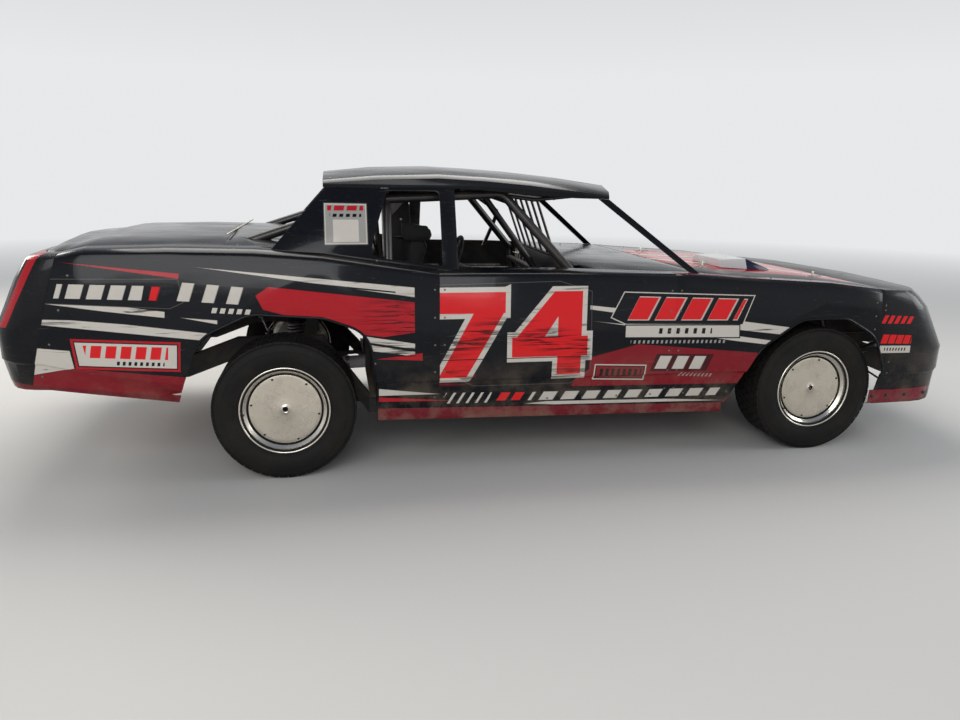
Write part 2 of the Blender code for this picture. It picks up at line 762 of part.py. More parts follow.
def sails():
    """Rear side panels of the cabin, with the quarter window and the pillar in front of it."""
    # Columns: foot station, top station
    stations = ((-0.030, 0.215), (0.200, 0.300), (0.450, 0.450), (0.722, 0.748), (0.820, 0.820))
    sections = []
    for foot, top in stations:
        z_foot = flange_top(foot, SAIL_FOOT_Y) + 2 * SEAM
        roof_edge, _, depth = between(ROOF_STATIONS, top)
        z_top = roof_edge - depth - SEAM
        sections.append(
            [
                (foot, -SAIL_FOOT_Y, z_foot),
                (top, -ROOF_HALF_WIDTH, z_top),
                (top, -ROOF_HALF_WIDTH + SHEET, z_top),
                (foot, -SAIL_FOOT_Y + SHEET, z_foot),
            ]
        )
    sill = [(x, flange_top(x, SAIL_FOOT_Y) + WINDOW_SILL, radius) for x, radius in zip(SILL_STATIONS, (0.01, 0.03))]
    corners = [*((x, WINDOW_TOP, 0.02) for x in WINDOW_STATIONS), *sill, (*WINDOW_BEND, 0)]
    window = prism(rounded(corners, 2), -SAIL_FOOT_Y - 0.1, -ROOF_HALF_WIDTH + 0.1)
    both_sides("sail_panel", combine(loft(sections), [window], "DIFFERENCE"), "body_black")


def a_posts():
    """Windscreen pillars from the fender's flange up to the roof's front corners."""
    foot_x, foot_y = A_POST_FOOT_X, A_POST_FOOT_Y
    half = A_POST_LENGTH / 2
    foot, top = [], []
    for dx, dy in ((-half, 0), (half, 0), (half, A_POST_THICK), (-half, A_POST_THICK)):
        x, y = foot_x + dx, -foot_y + dy
        foot.append((x, y, flange_top(x, y) + 2 * SEAM))
        x, y = A_POST_TOP_X + dx, -ROOF_HALF_WIDTH + dy
        roof_edge, _, depth = between(ROOF_STATIONS, x)
        top.append((x, y, roof_edge - depth - SEAM))
    both_sides("a_post", loft([foot, top]), "body_black")


# Frame, floor and cage
def rail():
    """One side rail of the perimeter frame, from the rear end to the front horn."""
    # Columns: station, half track, height
    path = (
        (-1.080, RAIL_REAR_Y, RAIL_REAR_Z),
        (-0.480, RAIL_REAR_Y, RAIL_REAR_Z),
        (-0.240, RAIL_REAR_Y, RAIL_KICK_Z),
        (0.180, RAIL_REAR_Y, RAIL_KICK_Z),
        (FLOOR_REAR - 0.002, RAIL_MID_Y, RAIL_MID_Z),
        (FLOOR_FRONT + 0.005, RAIL_MID_Y, RAIL_MID_Z),
        (2.280, RAIL_FRONT_Y, RAIL_FRONT_Z),
        (3.180, RAIL_FRONT_Y, RAIL_FRONT_Z),
    )
    sections = []
    for x, y, z in path:
        w, h = RAIL_WIDTH / 2, RAIL_HEIGHT / 2
        sections.append([(x, -y - w, z - h), (x, -y + w, z - h), (x, -y + w, z + h), (x, -y - w, z + h)])
    return loft(sections)


# Height of a cross member's top over the middle of the rails
MEMBER_RISE = RAIL_HEIGHT / 2 - 0.0001
CROSSMEMBERS = (
    # Columns: rear station, front station, half width, bottom, top
    (-1.060, -0.990, RAIL_REAR_Y, RAIL_REAR_Z - 0.050, RAIL_REAR_Z + MEMBER_RISE),
    (-0.560, -0.500, RAIL_REAR_Y, RAIL_REAR_Z - 0.030, RAIL_REAR_Z + MEMBER_RISE),
    (0.080, 0.140, RAIL_REAR_Y, RAIL_KICK_Z - 0.030, RAIL_KICK_Z + 0.040),
    (1.420, 1.500, RAIL_MID_Y, RAIL_MID_Z - 0.045, SHAFT_Z - GEARBOX_RADIUS - TOUCH),
    (2.660, 2.830, RAIL_FRONT_Y, 0.215, RAIL_FRONT_Z + 0.030),
    (3.080, 3.150, RAIL_FRONT_Y, RAIL_FRONT_Z - 0.040, RAIL_FRONT_Z + MEMBER_RISE),
)


def frame():
    """Perimeter frame with its cross members, and the front clip with its spring towers, parted at one station."""
    pieces = [mirrored(rail())]
    for rear, front, half, low, top in CROSSMEMBERS:
        pieces.append(box((rear, -half, low), (front, half, top)))
    for side in (-1, 1):
        y0, y1 = sorted((side * (RAIL_FRONT_Y - 0.020), side * (RAIL_FRONT_Y + 0.060)))
        pieces.append(box((2.650, y0, 0.300), (2.840, y1, 0.520)))
    whole = combine(rail(), pieces)
    behind = box((-OVERALL_LENGTH, -1.0, UNDER), (CLIP_X - TOUCH / 2, 1.0, 1.0))
    ahead = box((CLIP_X + TOUCH / 2, -1.0, UNDER), (OVERALL_LENGTH, 1.0, 1.0))
    place(combine(whole.copy(), [behind], "INTERSECT"), "frame", "frame_black")
    place(combine(whole, [ahead], "INTERSECT"), "front_clip", "frame_black")


def floor_section(x):
    """The floor across the car, with the tunnel for the gearbox and the drive shaft."""
    low = RAIL_MID_Z + RAIL_HEIGHT / 2 + TOUCH
    w, t, top = FLOOR_HALF_WIDTH, TUNNEL_HALF_WIDTH, TUNNEL_TOP
    outer = [(-w, low + SHEET), (-t, low + SHEET), (-t, top), (t, top), (t, low + SHEET), (w, low + SHEET)]
    inside = t - SHEET
    inner = [(w, low), (inside, low), (inside, top - SHEET), (-inside, top - SHEET), (-inside, low), (-w, low)]
    return [(x, y, z) for y, z in outer + inner]


def bulkhead(x, half, top):
    """An upright sheet across the car with a notch over the tunnel."""
    low = RAIL_MID_Z + RAIL_HEIGHT / 2 + TOUCH + SHEET + TOUCH
    t = TUNNEL_HALF_WIDTH + TOUCH
    notch = TUNNEL_TOP + TOUCH
    outline = [(-half, low), (-t, low), (-t, notch), (t, notch), (t, low), (half, low), (half, top), (-half, top)]
    return loft([[(x, y, z) for y, z in outline], [(x + SHEET, y, z) for y, z in outline]])


def floor_and_bulkheads():
    """Floor pan, firewall under the cowl, the sheet behind the seat, and the dash under the cowl's rear edge."""
    place(loft([floor_section(FLOOR_REAR), floor_section(FLOOR_FRONT)]), "floor_pan", "frame_black")
    half = BULKHEAD_HALF_WIDTH
    cowl = crown_height(COWL_STATIONS, HOOD_CROWN, FIREWALL_X, half - 0.06) - SHEET - 0.008
    column = bolt_round(column_point(0.3), column_point(1.2), COLUMN_RADIUS + HOLE_GAP)
    wall = combine(bulkhead(FIREWALL_X, half, cowl), [column], "DIFFERENCE")
    place(wall, "front_firewall", "bare_aluminium")
    deck = between(DECK_STATIONS, REAR_BULKHEAD_X + 0.01)[-1] - SHEET - 0.002
    place(bulkhead(REAR_BULKHEAD_X, half, deck), "rear_firewall", "frame_black")
    face = SCREEN_FOOT_X - 0.016
    outline = [
        (face, DASH_LOW),
        (face + SHEET, DASH_LOW),
        (face + SHEET, DASH_TOP - SHEET),
        (COWL_REAR - SEAM, DASH_TOP - SHEET),
        (COWL_REAR - SEAM, DASH_TOP),
        (face, DASH_TOP),
    ]
    dash = combine(prism(outline, -DASH_HALF_WIDTH, DASH_HALF_WIDTH), [column], "DIFFERENCE")
    place(dash, "dash_panel", "cage_black")


def rear_brace(side, radius):
    """A cage tube from the hoop's top, through the deck and down to the rear frame."""
    points = [
        (HOOP_X, side * (CAGE_TOP_Y - 0.030), CAGE_TOP_Z),
        (DECK_TUBE_X, side * DECK_TUBE_Y, 1.095),
        (-0.320, side * 0.560, 1.020),
        (-0.760, side * RAIL_REAR_Y, RAIL_REAR_Z + RAIL_HEIGHT / 2 - 0.015),
    ]
    return rod(points, radius)


# Columns: height at the posts, height at mid length
DOOR_BARS = ((0.440, 0.450), (0.620, 0.630), (0.800, 0.800))
FLOOR_TOP = RAIL_MID_Z + RAIL_HEIGHT / 2 + TOUCH + SHEET
CAGE_FOOT_Z = FLOOR_TOP + TOUCH


def hoop_tube(radius):
    """The main hoop behind the driver, from the floor over the head and down again."""
    foot = CAGE_FOOT_Z - 0.020
    corners = ((CAGE_FOOT_Y, foot), (CAGE_BELT_Y, CAGE_BELT_Z), (CAGE_TOP_Y, CAGE_TOP_Z))
    right = [(HOOP_X, -y, z) for y, z in corners]
    left = [(HOOP_X, y, z) for y, z in reversed(corners)]
    return rod(right + left, radius)


def halo_side(side, radius):
    """One side of the halo, its windscreen leg and the leg's foot."""
    foot = (LEG_FOOT_X, side * CAGE_FOOT_Y, CAGE_FOOT_Z - 0.020)
    rear = (HOOP_X, side * CAGE_TOP_Y, CAGE_TOP_Z - 0.010)
    front = (HALO_FRONT_X, side * CAGE_TOP_Y, CAGE_TOP_Z + 0.020)
    belt = (DASH_X, side * CAGE_BELT_Y, CAGE_BELT_Z - 0.010)
    return rod([rear, front, belt, foot], radius)


def roll_cage():
    """Main hoop with its rear tubes, the halo with its windscreen legs, and the door bars, butted together."""
    under_floor = box((0.300, -0.9, 0.1), (1.600, 0.9, CAGE_FOOT_Z))
    rail_top = RAIL_REAR_Z + RAIL_HEIGHT / 2 + TOUCH
    under_rails = box((-0.900, -0.9, 0.1), (-0.600, 0.9, rail_top))
    pieces = [rear_brace(side, CAGE_RADIUS) for side in (-1, 1)]
    belt_bar = [(HOOP_X, y, HARNESS_BAR_Z) for y in (-CAGE_BELT_Y, CAGE_BELT_Y)]
    pieces.append(rod(belt_bar, BRACE_RADIUS))
    high, low = (HOOP_X, CAGE_TOP_Y, CAGE_TOP_Z - 0.020), (HOOP_X, -CAGE_FOOT_Y - 0.020, 0.480)
    pieces.append(rod([high, low], BRACE_RADIUS))
    hoop = combine(hoop_tube(CAGE_RADIUS), pieces)
    place(combine(hoop, [under_floor, under_rails], "DIFFERENCE"), "main_hoop", "cage_black")
    front, top = HALO_FRONT_X, CAGE_TOP_Z + 0.020
    pieces = [halo_side(1, CAGE_RADIUS)]
    pieces.append(rod([(front, -CAGE_TOP_Y, top), (front, CAGE_TOP_Y, top)], CAGE_RADIUS))
    pieces.append(rod([(DASH_X, -CAGE_BELT_Y, DASH_Z), (DASH_X, CAGE_BELT_Y, DASH_Z)], BRACE_RADIUS))
    pieces.append(rod([(front, 0.0, top), (DASH_X, 0.0, DASH_Z)], BRACE_RADIUS))
    halo = combine(halo_side(-1, CAGE_RADIUS), pieces)
    behind = box((HOOP_X - 0.1, -0.9, 1.0), (HOOP_X + BRACE_RADIUS + TOUCH, 0.9, 1.5))
    cuts = [hoop_tube(CAGE_RADIUS + TOUCH), behind, under_floor]
    place(combine(halo, cuts, "DIFFERENCE"), "halo", "cage_black")
    bars, middles = [], []
    for low, high in DOOR_BARS:
        share = (low - CAGE_FOOT_Z) / (CAGE_BELT_Z - CAGE_FOOT_Z)
        y = CAGE_FOOT_Y + (CAGE_BELT_Y - CAGE_FOOT_Y) * share
        x = LEG_FOOT_X + (DASH_X - LEG_FOOT_X) * share
        middles.append((DOOR_BAR_BOW_X, -y - DOOR_BAR_BOW, high))
        bars.append(rod([(HOOP_X, -y, low), middles[-1], (x, -y, low)], BRACE_RADIUS))
    bars = combine(rod(middles, BRACE_RADIUS), bars)
    posts = [hoop_tube(CAGE_RADIUS + HOLE_GAP), halo_side(-1, CAGE_RADIUS + HOLE_GAP)]
    both_sides("door_bars", combine(bars, posts, "DIFFERENCE"), "cage_black")


def windscreen_bars():
    """Upright rods that keep stones off the driver, from a bar under the roof to a foot bar on the dash."""
    top_x, top_z = SCREEN_TOP
    foot_z = DASH_TOP + TOUCH + SCREEN_ROD_RADIUS
    half = CAGE_TOP_Y + 0.010
    pieces = []
    for i in range(SCREEN_RODS):
        y = SCREEN_FIRST_Y + i * SCREEN_PITCH
        pieces.append(rod([(top_x, y, top_z), (SCREEN_FOOT_X, y, foot_z)], SCREEN_ROD_RADIUS, 6))
    near = (SCREEN_FOOT_X, SCREEN_FIRST_Y - SCREEN_BAR_END, foot_z)
    far = (SCREEN_FOOT_X, SCREEN_FIRST_Y + (SCREEN_RODS - 1) * SCREEN_PITCH + SCREEN_BAR_END, foot_z)
    pieces.append(rod([near, far], SCREEN_ROD_RADIUS))
    for side in (-1, 1):
        y = side * half
        stay = [(HALO_FRONT_X, 0.0120), (top_x - 0.105, -0.0085), (top_x + 0.155, 0.0175)]
        pieces.append(rod([(x, y, top_z + rise) for x, rise in stay], STAY_RADIUS, 6))
    bars = combine(rod([(top_x, -half, top_z), (top_x, half, top_z)], STAY_RADIUS, 6), pieces)
    halo = [halo_side(side, CAGE_RADIUS + TOUCH) for side in (-1, 1)]
    floor = box((SCREEN_FOOT_X - 0.1, -0.9, DASH_TOP - 0.1), (SCREEN_FOOT_X + 0.1, 0.9, DASH_TOP + TOUCH))
    place(combine(bars, [*halo, floor], "DIFFERENCE"), "windscreen_bars", "cage_black")


def front_hoop():
    """Tube hoop of the front clip, which guards the radiator and carries the hood's four pins."""
    foot = RAIL_FRONT_Z + RAIL_HEIGHT / 2 + TOUCH
    front_x, rear_x = HOOD_PINS[2][0], HOOD_PINS[0][0]
    z = HOOP_BAR_Z
    pieces = []
    for s in (-1, 1):
        rear, front = (rear_x, s * 0.620, z), (front_x, s * 0.600, z)
        pieces.append(rod([(2.320, s * RAIL_FRONT_Y, foot - 0.02), rear, front], BRACE_RADIUS))
        pieces.append(rod([front, (3.160, s * RAIL_FRONT_Y, foot - 0.02)], BRACE_RADIUS))
    pieces.append(rod([(rear_x, -0.620, z), (rear_x, 0.620, z)], BRACE_RADIUS))
    base = rod([(front_x, -0.600, z), (front_x, 0.600, z)], BRACE_RADIUS)
    for x, y in HOOD_PINS:
        under = crown_height(HOOD_STATIONS, HOOD_CROWN, x, y) - SHEET - PIN_GAP
        pieces.append(bolt_round((x, y, z), (x, y, under), PIN_RADIUS + 0.003, 8))
        pieces.append(bolt_round((x, y, under - 0.01), (x, y, under + SHEET + PIN_HEIGHT), PIN_RADIUS, 8))
    below = box((2.2, -0.6, 0.2), (3.3, 0.6, foot))
    place(combine(combine(base, pieces), [below], "DIFFERENCE"), "front_hoop", "cage_black")


# Cabin
def column_point(distance):
    """A point on the steering column's axis, measured forwards and down from the steering wheel."""
    x, y, z = STEERING_WHEEL_AT
    a = math.radians(COLUMN_ANGLE)
    return (x + distance * math.cos(a), y, z - distance * math.sin(a))


def steering():
    """Steering wheel with three spokes, and the fixed column behind it."""
    bm = bmesh.new()
    sides, tube = 28, 6
    rings = []
    for k in range(sides):
        a = 2 * math.pi * k / sides
        ring = []
        for m in range(tube):
            b = 2 * math.pi * m / tube
            r = STEERING_WHEEL_RADIUS - 0.014 + 0.014 * math.cos(b)
            ring.append(bm.verts.new((0.014 * math.sin(b), r * math.cos(a), r * math.sin(a))))
        rings.append(ring)
    for a, b in zip(rings, rings[1:] + rings[:1]):
        for m in range(tube):
            n = (m + 1) % tube
            bm.faces.new((a[m], a[n], b[n], b[m]))
    wheel = mesh_of(bm)
    spokes = [bolt_round((-0.012, 0, 0), (0.040, 0, 0), 0.034, 16)]
    for angle in (90, 210, 330):
        a = math.radians(angle)
        reach = STEERING_WHEEL_RADIUS - 0.012
        spoke = box((-0.003, 0.010, -0.016), (0.003, reach, 0.016))
        spoke.transform(Matrix.Rotation(a, 4, "X"))
        spokes.append(spoke)
    wheel = combine(wheel, spokes)
    turn = Matrix.Rotation(math.radians(COLUMN_ANGLE), 4, "Y")
    wheel.transform(Matrix.Translation(STEERING_WHEEL_AT) @ turn)
    place(wheel, "steering_wheel", "cage_black", at=STEERING_WHEEL_AT)
    column = bolt_round(column_point(0.040 + HOLE_GAP), column_point(COLUMN_LENGTH), COLUMN_RADIUS, 10)
    hanger = rod([(DASH_X, STEERING_WHEEL_AT[1], DASH_Z - BRACE_RADIUS - TOUCH), column_point(0.470)], 0.010, 6)
    place(combine(column, [hanger]), "steering_column", "cast_grey")


SEAT_Y = 0.395
SEAT_HALF_WIDTH = 0.215
SEAT_SIDE = [
    (0.640, 0.395, 0),
    (1.090, 0.430, 0.03),
    (1.110, 0.540, 0.05),
    (0.800, 0.520, 0.10),
    (0.735, 0.700, 0.10),
    (0.700, 0.980, 0.05),
    (0.690, 1.270, 0.03),
    (0.565, 1.270, 0.03),
    (0.580, 0.700, 0.10),
]
SEAT_WELL = [
    (0.690, 0.455, 0.05),
    (1.200, 0.480, 0),
    (1.200, 1.500, 0),
    (0.610, 1.500, 0),
    (0.625, 0.700, 0.10),
]

HEAD_SUPPORT = [
    (0.640, 1.040, 0.03),
    (0.815, 1.040, 0.03),
    (0.815, 1.110, 0.04),
    (0.700, 1.140, 0.03),
    (0.640, 1.140, 0),
]


def seat():
    """Racing seat with high sides, on two bearers, with the head support on its right."""
    y0, y1 = SEAT_Y - SEAT_HALF_WIDTH, SEAT_Y + SEAT_HALF_WIDTH
    shell = prism(rounded(SEAT_SIDE, 3), y0, y1)
    shell = combine(shell, [prism(rounded(SEAT_WELL, 3), y0 + 0.022, y1 - 0.022)], "DIFFERENCE")
    joined = [box((x, y0 + 0.02, CAGE_FOOT_Z), (x + 0.050, y1 - 0.02, 0.430)) for x in (0.700, 0.980)]
    joined.append(prism(rounded(HEAD_SUPPORT, 2), y0 - 0.060, y0 + 0.010))
    place(combine(shell, joined), "seat", "seat_vinyl")


# Wheels
def wheels():
    """Tyres with open carcasses, and rims turned in one with the web and the mud cover."""
    half = RIM_WIDTH / 2
    face = half - COVER_INSET
    rim = [
        (face, COVER_HOLE),
        (face, COVER_RADIUS),
        (face - COVER_STEP, COVER_RADIUS + 0.001),
        (face - COVER_STEP, 0.177),
        (half, 0.187),
        (half, RIM_RADIUS),
        (half - 0.005, RIM_RADIUS),
        (half - 0.005, BEAD_RADIUS),
        (-half + 0.005, BEAD_RADIUS),
        (-half + 0.005, RIM_RADIUS),
        (-half, RIM_RADIUS),
        (-half, 0.184),
        (WEB_AT, 0.176),
        (WEB_AT, STUB_RADIUS + HOLE_GAP),
        (WEB_AT + WEB_THICK, STUB_RADIUS + HOLE_GAP),
        (WEB_AT + WEB_THICK, 0.174),
        (face - COVER_STEP - 0.003, 0.174),
        (face - COVER_STEP - 0.003, COVER_RADIUS - 0.002),
        (face - 0.003, COVER_RADIUS - 0.003),
        (face - 0.003, COVER_HOLE),
    ]
    wall = half - 0.005 - TOUCH
    bead = BEAD_RADIUS + TOUCH
    side = [
        (0.100, bead),
        (wall, bead),
        (wall, RIM_RADIUS + 0.001),
        (0.128, 0.252),
        (0.1245, 0.304),
        (0.100, TYRE_RADIUS),
    ]
    inner = [(0.102, 0.320), (0.115, 0.255)]
    tyre = side + [(-w, r) for w, r in reversed(side)] + [(-w, r) for w, r in reversed(inner)] + inner
    for x, end in ((0.0, "rear"), (WHEELBASE, "front")):
        for s, hand in ((-1, "right"), (1, "left")):
            at = (x, s * WHEEL_Y, TYRE_RADIUS * math.cos(FLAT_ANGLE))
            place(turned(tyre, at, outward=s), f"tyre_{end}_{hand}", "tyre_black", at=at)
            place(turned(rim, at, outward=s), f"rim_{end}_{hand}", "bare_aluminium", at=at)


HUB_Z = TYRE_RADIUS * math.cos(FLAT_ANGLE)


def plate(outline, z0, z1):
    """A plan-view outline of (x, y) points pushed up from z0 to z1."""
    return loft([[(x, y, z) for x, y in outline] for z in (z0, z1)])


def knuckle(side, hand):
    """Steering knuckle: kingpin post, stub axle, and the steering arm that runs forwards."""
    x, y = WHEELBASE, side * KINGPIN_Y
    post = bolt_round((x, y, KNUCKLE_LOW), (x, y, KNUCKLE_HIGH), KINGPIN_RADIUS, 12)
    stub = bolt_round((x, y, HUB_Z), (x, side * (WHEEL_Y + 0.030), HUB_Z), STUB_RADIUS, 16)
    arm = plate(
        [
            (x, y - 0.022),
            (x + ARM_REACH + 0.018, side * ARM_END_Y - 0.018),
            (x + ARM_REACH + 0.018, side * ARM_END_Y + 0.018),
            (x, y + 0.022),
        ],
        ARM_TOP - ARM_THICK,
        ARM_TOP,
    )
    place(combine(post, [stub, arm]), "knuckle_" + hand, "cast_grey", at=(x, y, HUB_Z))


def front_arms(side, hand):
    """Lower and upper suspension arms between the frame and the kingpin, both fixed."""
    x = WHEELBASE
    inner = side * (RAIL_FRONT_Y + RAIL_WIDTH / 2 + TOUCH)
    tower = side * (RAIL_FRONT_Y + 0.060 + TOUCH)
    tip = side * (KINGPIN_Y + 0.026)
    low = [(x - 0.180, inner), (x - 0.030, tip), (x + 0.030, tip), (x + 0.130, inner)]
    lower = plate(low, KNUCKLE_LOW - HOLE_GAP - 0.030, KNUCKLE_LOW - HOLE_GAP)
    place(lower, "lower_arm_" + hand, "frame_black")
    up = [(x - 0.090, tower), (x - 0.026, tip), (x + 0.026, tip), (x + 0.090, tower)]
    upper = plate(up, KNUCKLE_HIGH + HOLE_GAP, KNUCKLE_HIGH + HOLE_GAP + 0.024)
    place(upper, "upper_arm_" + hand, "frame_black")


def steering_link():
    """Centre link and tie rods over the two steering arms; its eyes are open at the arms' ends."""
    x, z = WHEELBASE + ARM_REACH, ARM_TOP + HOLE_GAP
    bar = rod([(x, -ARM_END_Y, z + LINK_RADIUS), (x, ARM_END_Y, z + LINK_RADIUS)], LINK_RADIUS)
    ends = [bolt_round((x, s * ARM_END_Y, z), (x, s * ARM_END_Y, z + 0.026), 0.017, 12) for s in (-1, 1)]
    place(combine(bar, ends), "steering_link", "cast_grey", at=(x, 0, z + LINK_RADIUS))


def driveline():
    """Engine with gearbox as one plain block, drive shaft, rear axle, springs, fuel cell, radiator."""
    sump = RAIL_FRONT_Z + 0.030 + TOUCH
    engine = box((ENGINE_REAR, -ENGINE_HALF_WIDTH, sump), (ENGINE_FRONT, ENGINE_HALF_WIDTH, ENGINE_TOP))
    gearbox = shaft_along((GEARBOX_REAR, 0, SHAFT_Z), (ENGINE_REAR + 0.05, 0, SHAFT_Z + 0.03), GEARBOX_RADIUS)
    place(combine(engine, [gearbox]), "engine_block", "cast_grey")
    pinion = (PINION_X, 0, HUB_Z + 0.012)
    shaft = shaft_along((PINION_X + TOUCH, 0, HUB_Z + 0.012), (GEARBOX_REAR - TOUCH, 0, SHAFT_Z), SHAFT_RADIUS)
    place(shaft, "drive_shaft", "cast_grey")
    half = (
        (AXLE_HALF_LENGTH, 0.001),
        (AXLE_HALF_LENGTH, AXLE_TUBE_RADIUS),
        (DIFF_SHOULDER, AXLE_TUBE_RADIUS),
        (DIFF_HALF_WIDTH, DIFF_RADIUS),
    )
    axle = turned(
        [(-w, r) for w, r in half] + [(w, r) for w, r in reversed(half)],
        (0, 0, HUB_Z),
        16,
    )
    stub = bolt_round((0, -WHEEL_Y - 0.03, HUB_Z), (0, WHEEL_Y + 0.03, HUB_Z), STUB_RADIUS, 16)
    nose = shaft_along((0, 0, HUB_Z), pinion, 0.055)
    seats = [
        box((-0.07, s * SPRING_Y - 0.04, HUB_Z), (0.07, s * SPRING_Y + 0.04, HUB_Z + SPRING_SEAT)) for s in (-1, 1)
    ]
    place(combine(axle, [stub, nose, *seats]), "rear_axle", "cast_grey")
    for s, hand in ((-1, "right"), (1, "left")):
        low = HUB_Z + SPRING_SEAT + TOUCH
        high = RAIL_KICK_Z - RAIL_HEIGHT / 2 - TOUCH
        spring = bolt_round((0, s * SPRING_Y, low), (0, s * SPRING_Y, high), SPRING_RADIUS, 12)
        place(spring, "rear_spring_" + hand, "frame_black")
    rear, front, wide, high = FUEL_CELL
    low = RAIL_REAR_Z + MEMBER_RISE + TOUCH
    place(box((rear, -wide, low), (front, wide, low + high)), "fuel_cell", "panel_red")
    rear, front, wide, high = RADIATOR
    low = RAIL_FRONT_Z + MEMBER_RISE + TOUCH
    place(box((rear, -wide, low), (front, wide, low + high)), "radiator", "bare_aluminium")


def bumpers():
    """Round bars behind the nose and the tail cover, on the frame's ends."""
    fx = 3.180 + TOUCH
    front = [(-0.03, -RAIL_FRONT_Y, RAIL_FRONT_Z), (0.380, -0.330, 0.450), (0.380, 0.330, 0.450)]
    front = [(fx + x, y, z) for x, y, z in [*front, (-0.03, RAIL_FRONT_Y, RAIL_FRONT_Z)]]
    behind = box((fx - 0.1, -0.6, 0.2), (fx, 0.6, 0.7))
    place(combine(rod(front, CAGE_RADIUS), [behind], "DIFFERENCE"), "front_bumper_bar", "cage_black")
    rx = -1.080 - TOUCH
    rear = [(0.03, -RAIL_REAR_Y, RAIL_REAR_Z), (-0.100, -0.560, 0.600), (-0.100, 0.560, 0.600)]
    rear = [(rx + x, y, z) for x, y, z in [*rear, (0.03, RAIL_REAR_Y, RAIL_REAR_Z)]]
    before = box((rx, -0.8, 0.2), (rx + 0.1, 0.8, 0.8))
    place(combine(rod(rear, CAGE_RADIUS), [before], "DIFFERENCE"), "rear_bumper_bar", "cage_black")


hood_and_decks()
rocker_strips()
roof()
sails()
a_posts()
frame()
floor_and_bulkheads()
roll_cage()
windscreen_bars()
front_hoop()
steering()
seat()
wheels()
for sign, hand_name in ((-1, "right"), (1, "left")):
    knuckle(sign, hand_name)
    front_arms(sign, hand_name)
steering_link()
driveline()
bumpers()
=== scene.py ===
"""Looks of the dirt-track stock car: paint and graphics, wheels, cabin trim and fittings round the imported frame."""
import json
import math

import bpy
from mathutils import Matrix, Vector


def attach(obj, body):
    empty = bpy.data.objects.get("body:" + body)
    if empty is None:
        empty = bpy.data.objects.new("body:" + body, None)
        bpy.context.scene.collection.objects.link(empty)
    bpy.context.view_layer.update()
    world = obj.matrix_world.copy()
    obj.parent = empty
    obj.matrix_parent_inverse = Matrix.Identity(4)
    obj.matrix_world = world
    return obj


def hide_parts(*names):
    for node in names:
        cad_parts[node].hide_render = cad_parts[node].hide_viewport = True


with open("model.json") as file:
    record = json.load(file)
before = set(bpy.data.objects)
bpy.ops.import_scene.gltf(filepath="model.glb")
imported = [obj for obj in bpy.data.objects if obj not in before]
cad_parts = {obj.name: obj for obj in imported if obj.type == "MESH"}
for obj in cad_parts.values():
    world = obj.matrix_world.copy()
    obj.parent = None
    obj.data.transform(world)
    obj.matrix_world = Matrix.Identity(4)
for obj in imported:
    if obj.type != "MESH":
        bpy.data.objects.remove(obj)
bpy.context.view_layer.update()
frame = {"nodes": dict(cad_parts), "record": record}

# Sizes shared with the car's drawing, in metres; stations are measured forwards from the rear axle
REAR_AXLE_X = -1.21
WHEELBASE = 2.743
WHEEL_Y = 0.7555
HUB_Z = 0.332894
FLOOR_TOP = 0.3396
SEAT_Y = 0.395
# Gap between parts that touch
TOUCH = 0.0003
SIDES = {"right": -1, "left": 1}
# Tubes of the cage: main tubes, braces and thin rods, by radius
TUBE, BRACE, ROD = 0.0225, 0.019, 0.0075
# Hood pins: station, distance from the middle
HOOD_PINS = ((2.26, -0.44), (2.26, 0.44), (2.87, -0.56), (2.87, 0.56))
# Dials: where the first one's middle lies across the car, their spacing and height
GAUGE_FIRST_Y = 0.2
GAUGE_PITCH = 0.085
GAUGE_Z = 0.9
# Merging distance of finished meshes, and the even mesh that cushions are simulated on
MERGE = 0.00002
VOXEL = 0.006
CLOTH_STEPS = 20

# Photograph's camera, fitted to the wheels: place, turn, tilt and lens
CAMERA_AT = (-0.964, -4.348, 1.413)
CAMERA_YAW = 11.03
CAMERA_PITCH = 13.68
CAMERA_ROLL = 0.87
CAMERA_LENS = 28.31

# Linear colours
BLACK = (0.004, 0.0046, 0.0072)
NUMBER_RED = (0.7, 0.014, 0.018)
BAND_RED = (0.43, 0.012, 0.02)
FIELD_RED = (0.23, 0.01, 0.018)
MAROON = (0.15, 0.009, 0.016)
WHITE = (0.6, 0.56, 0.5)
PALE_GREY = (0.33, 0.32, 0.3)
OUTLINE_GREY = (0.075, 0.073, 0.07)
DUST = (0.29, 0.225, 0.16)
BACKGROUND = (0.8, 0.81, 0.82)


def at(station, y, z):
    """A point in the row frame from its station along the car."""
    return Vector((station + REAR_AXLE_X, y, z))


def spots(points):
    """Points in the row frame; those given as plain (station, y, z) are turned into it."""
    return [p if isinstance(p, Vector) else at(*p) for p in points]


# Shader writing
class Term:
    """A node's socket that arithmetic can be written with; each operator adds a Math node."""

    def __init__(self, owner, socket):
        self.owner = owner
        self.socket = socket

    def __add__(self, other):
        return self.owner.maths("ADD", self, other)

    def __sub__(self, other):
        return self.owner.maths("SUBTRACT", self, other)

    def __rsub__(self, other):
        return self.owner.maths("SUBTRACT", other, self)

    def __mul__(self, other):
        return self.owner.maths("MULTIPLY", self, other)

    def __truediv__(self, other):
        return self.owner.maths("DIVIDE", self, other)

    def __abs__(self):
        return self.owner.maths("ABSOLUTE", self)

    __radd__ = __add__
    __rmul__ = __mul__

    def steep(self, soft=0.0016):
        """0 below zero and 1 above it, over a soft edge."""
        return self.owner.maths("MULTIPLY_ADD", self, 1 / soft, 0.5, clamp=True)

    def share(self, low, high):
        """How far the value lies from low to high, held from 0 to 1."""
        return self.owner.maths("MULTIPLY_ADD", self, 1 / (high - low), -low / (high - low), clamp=True)


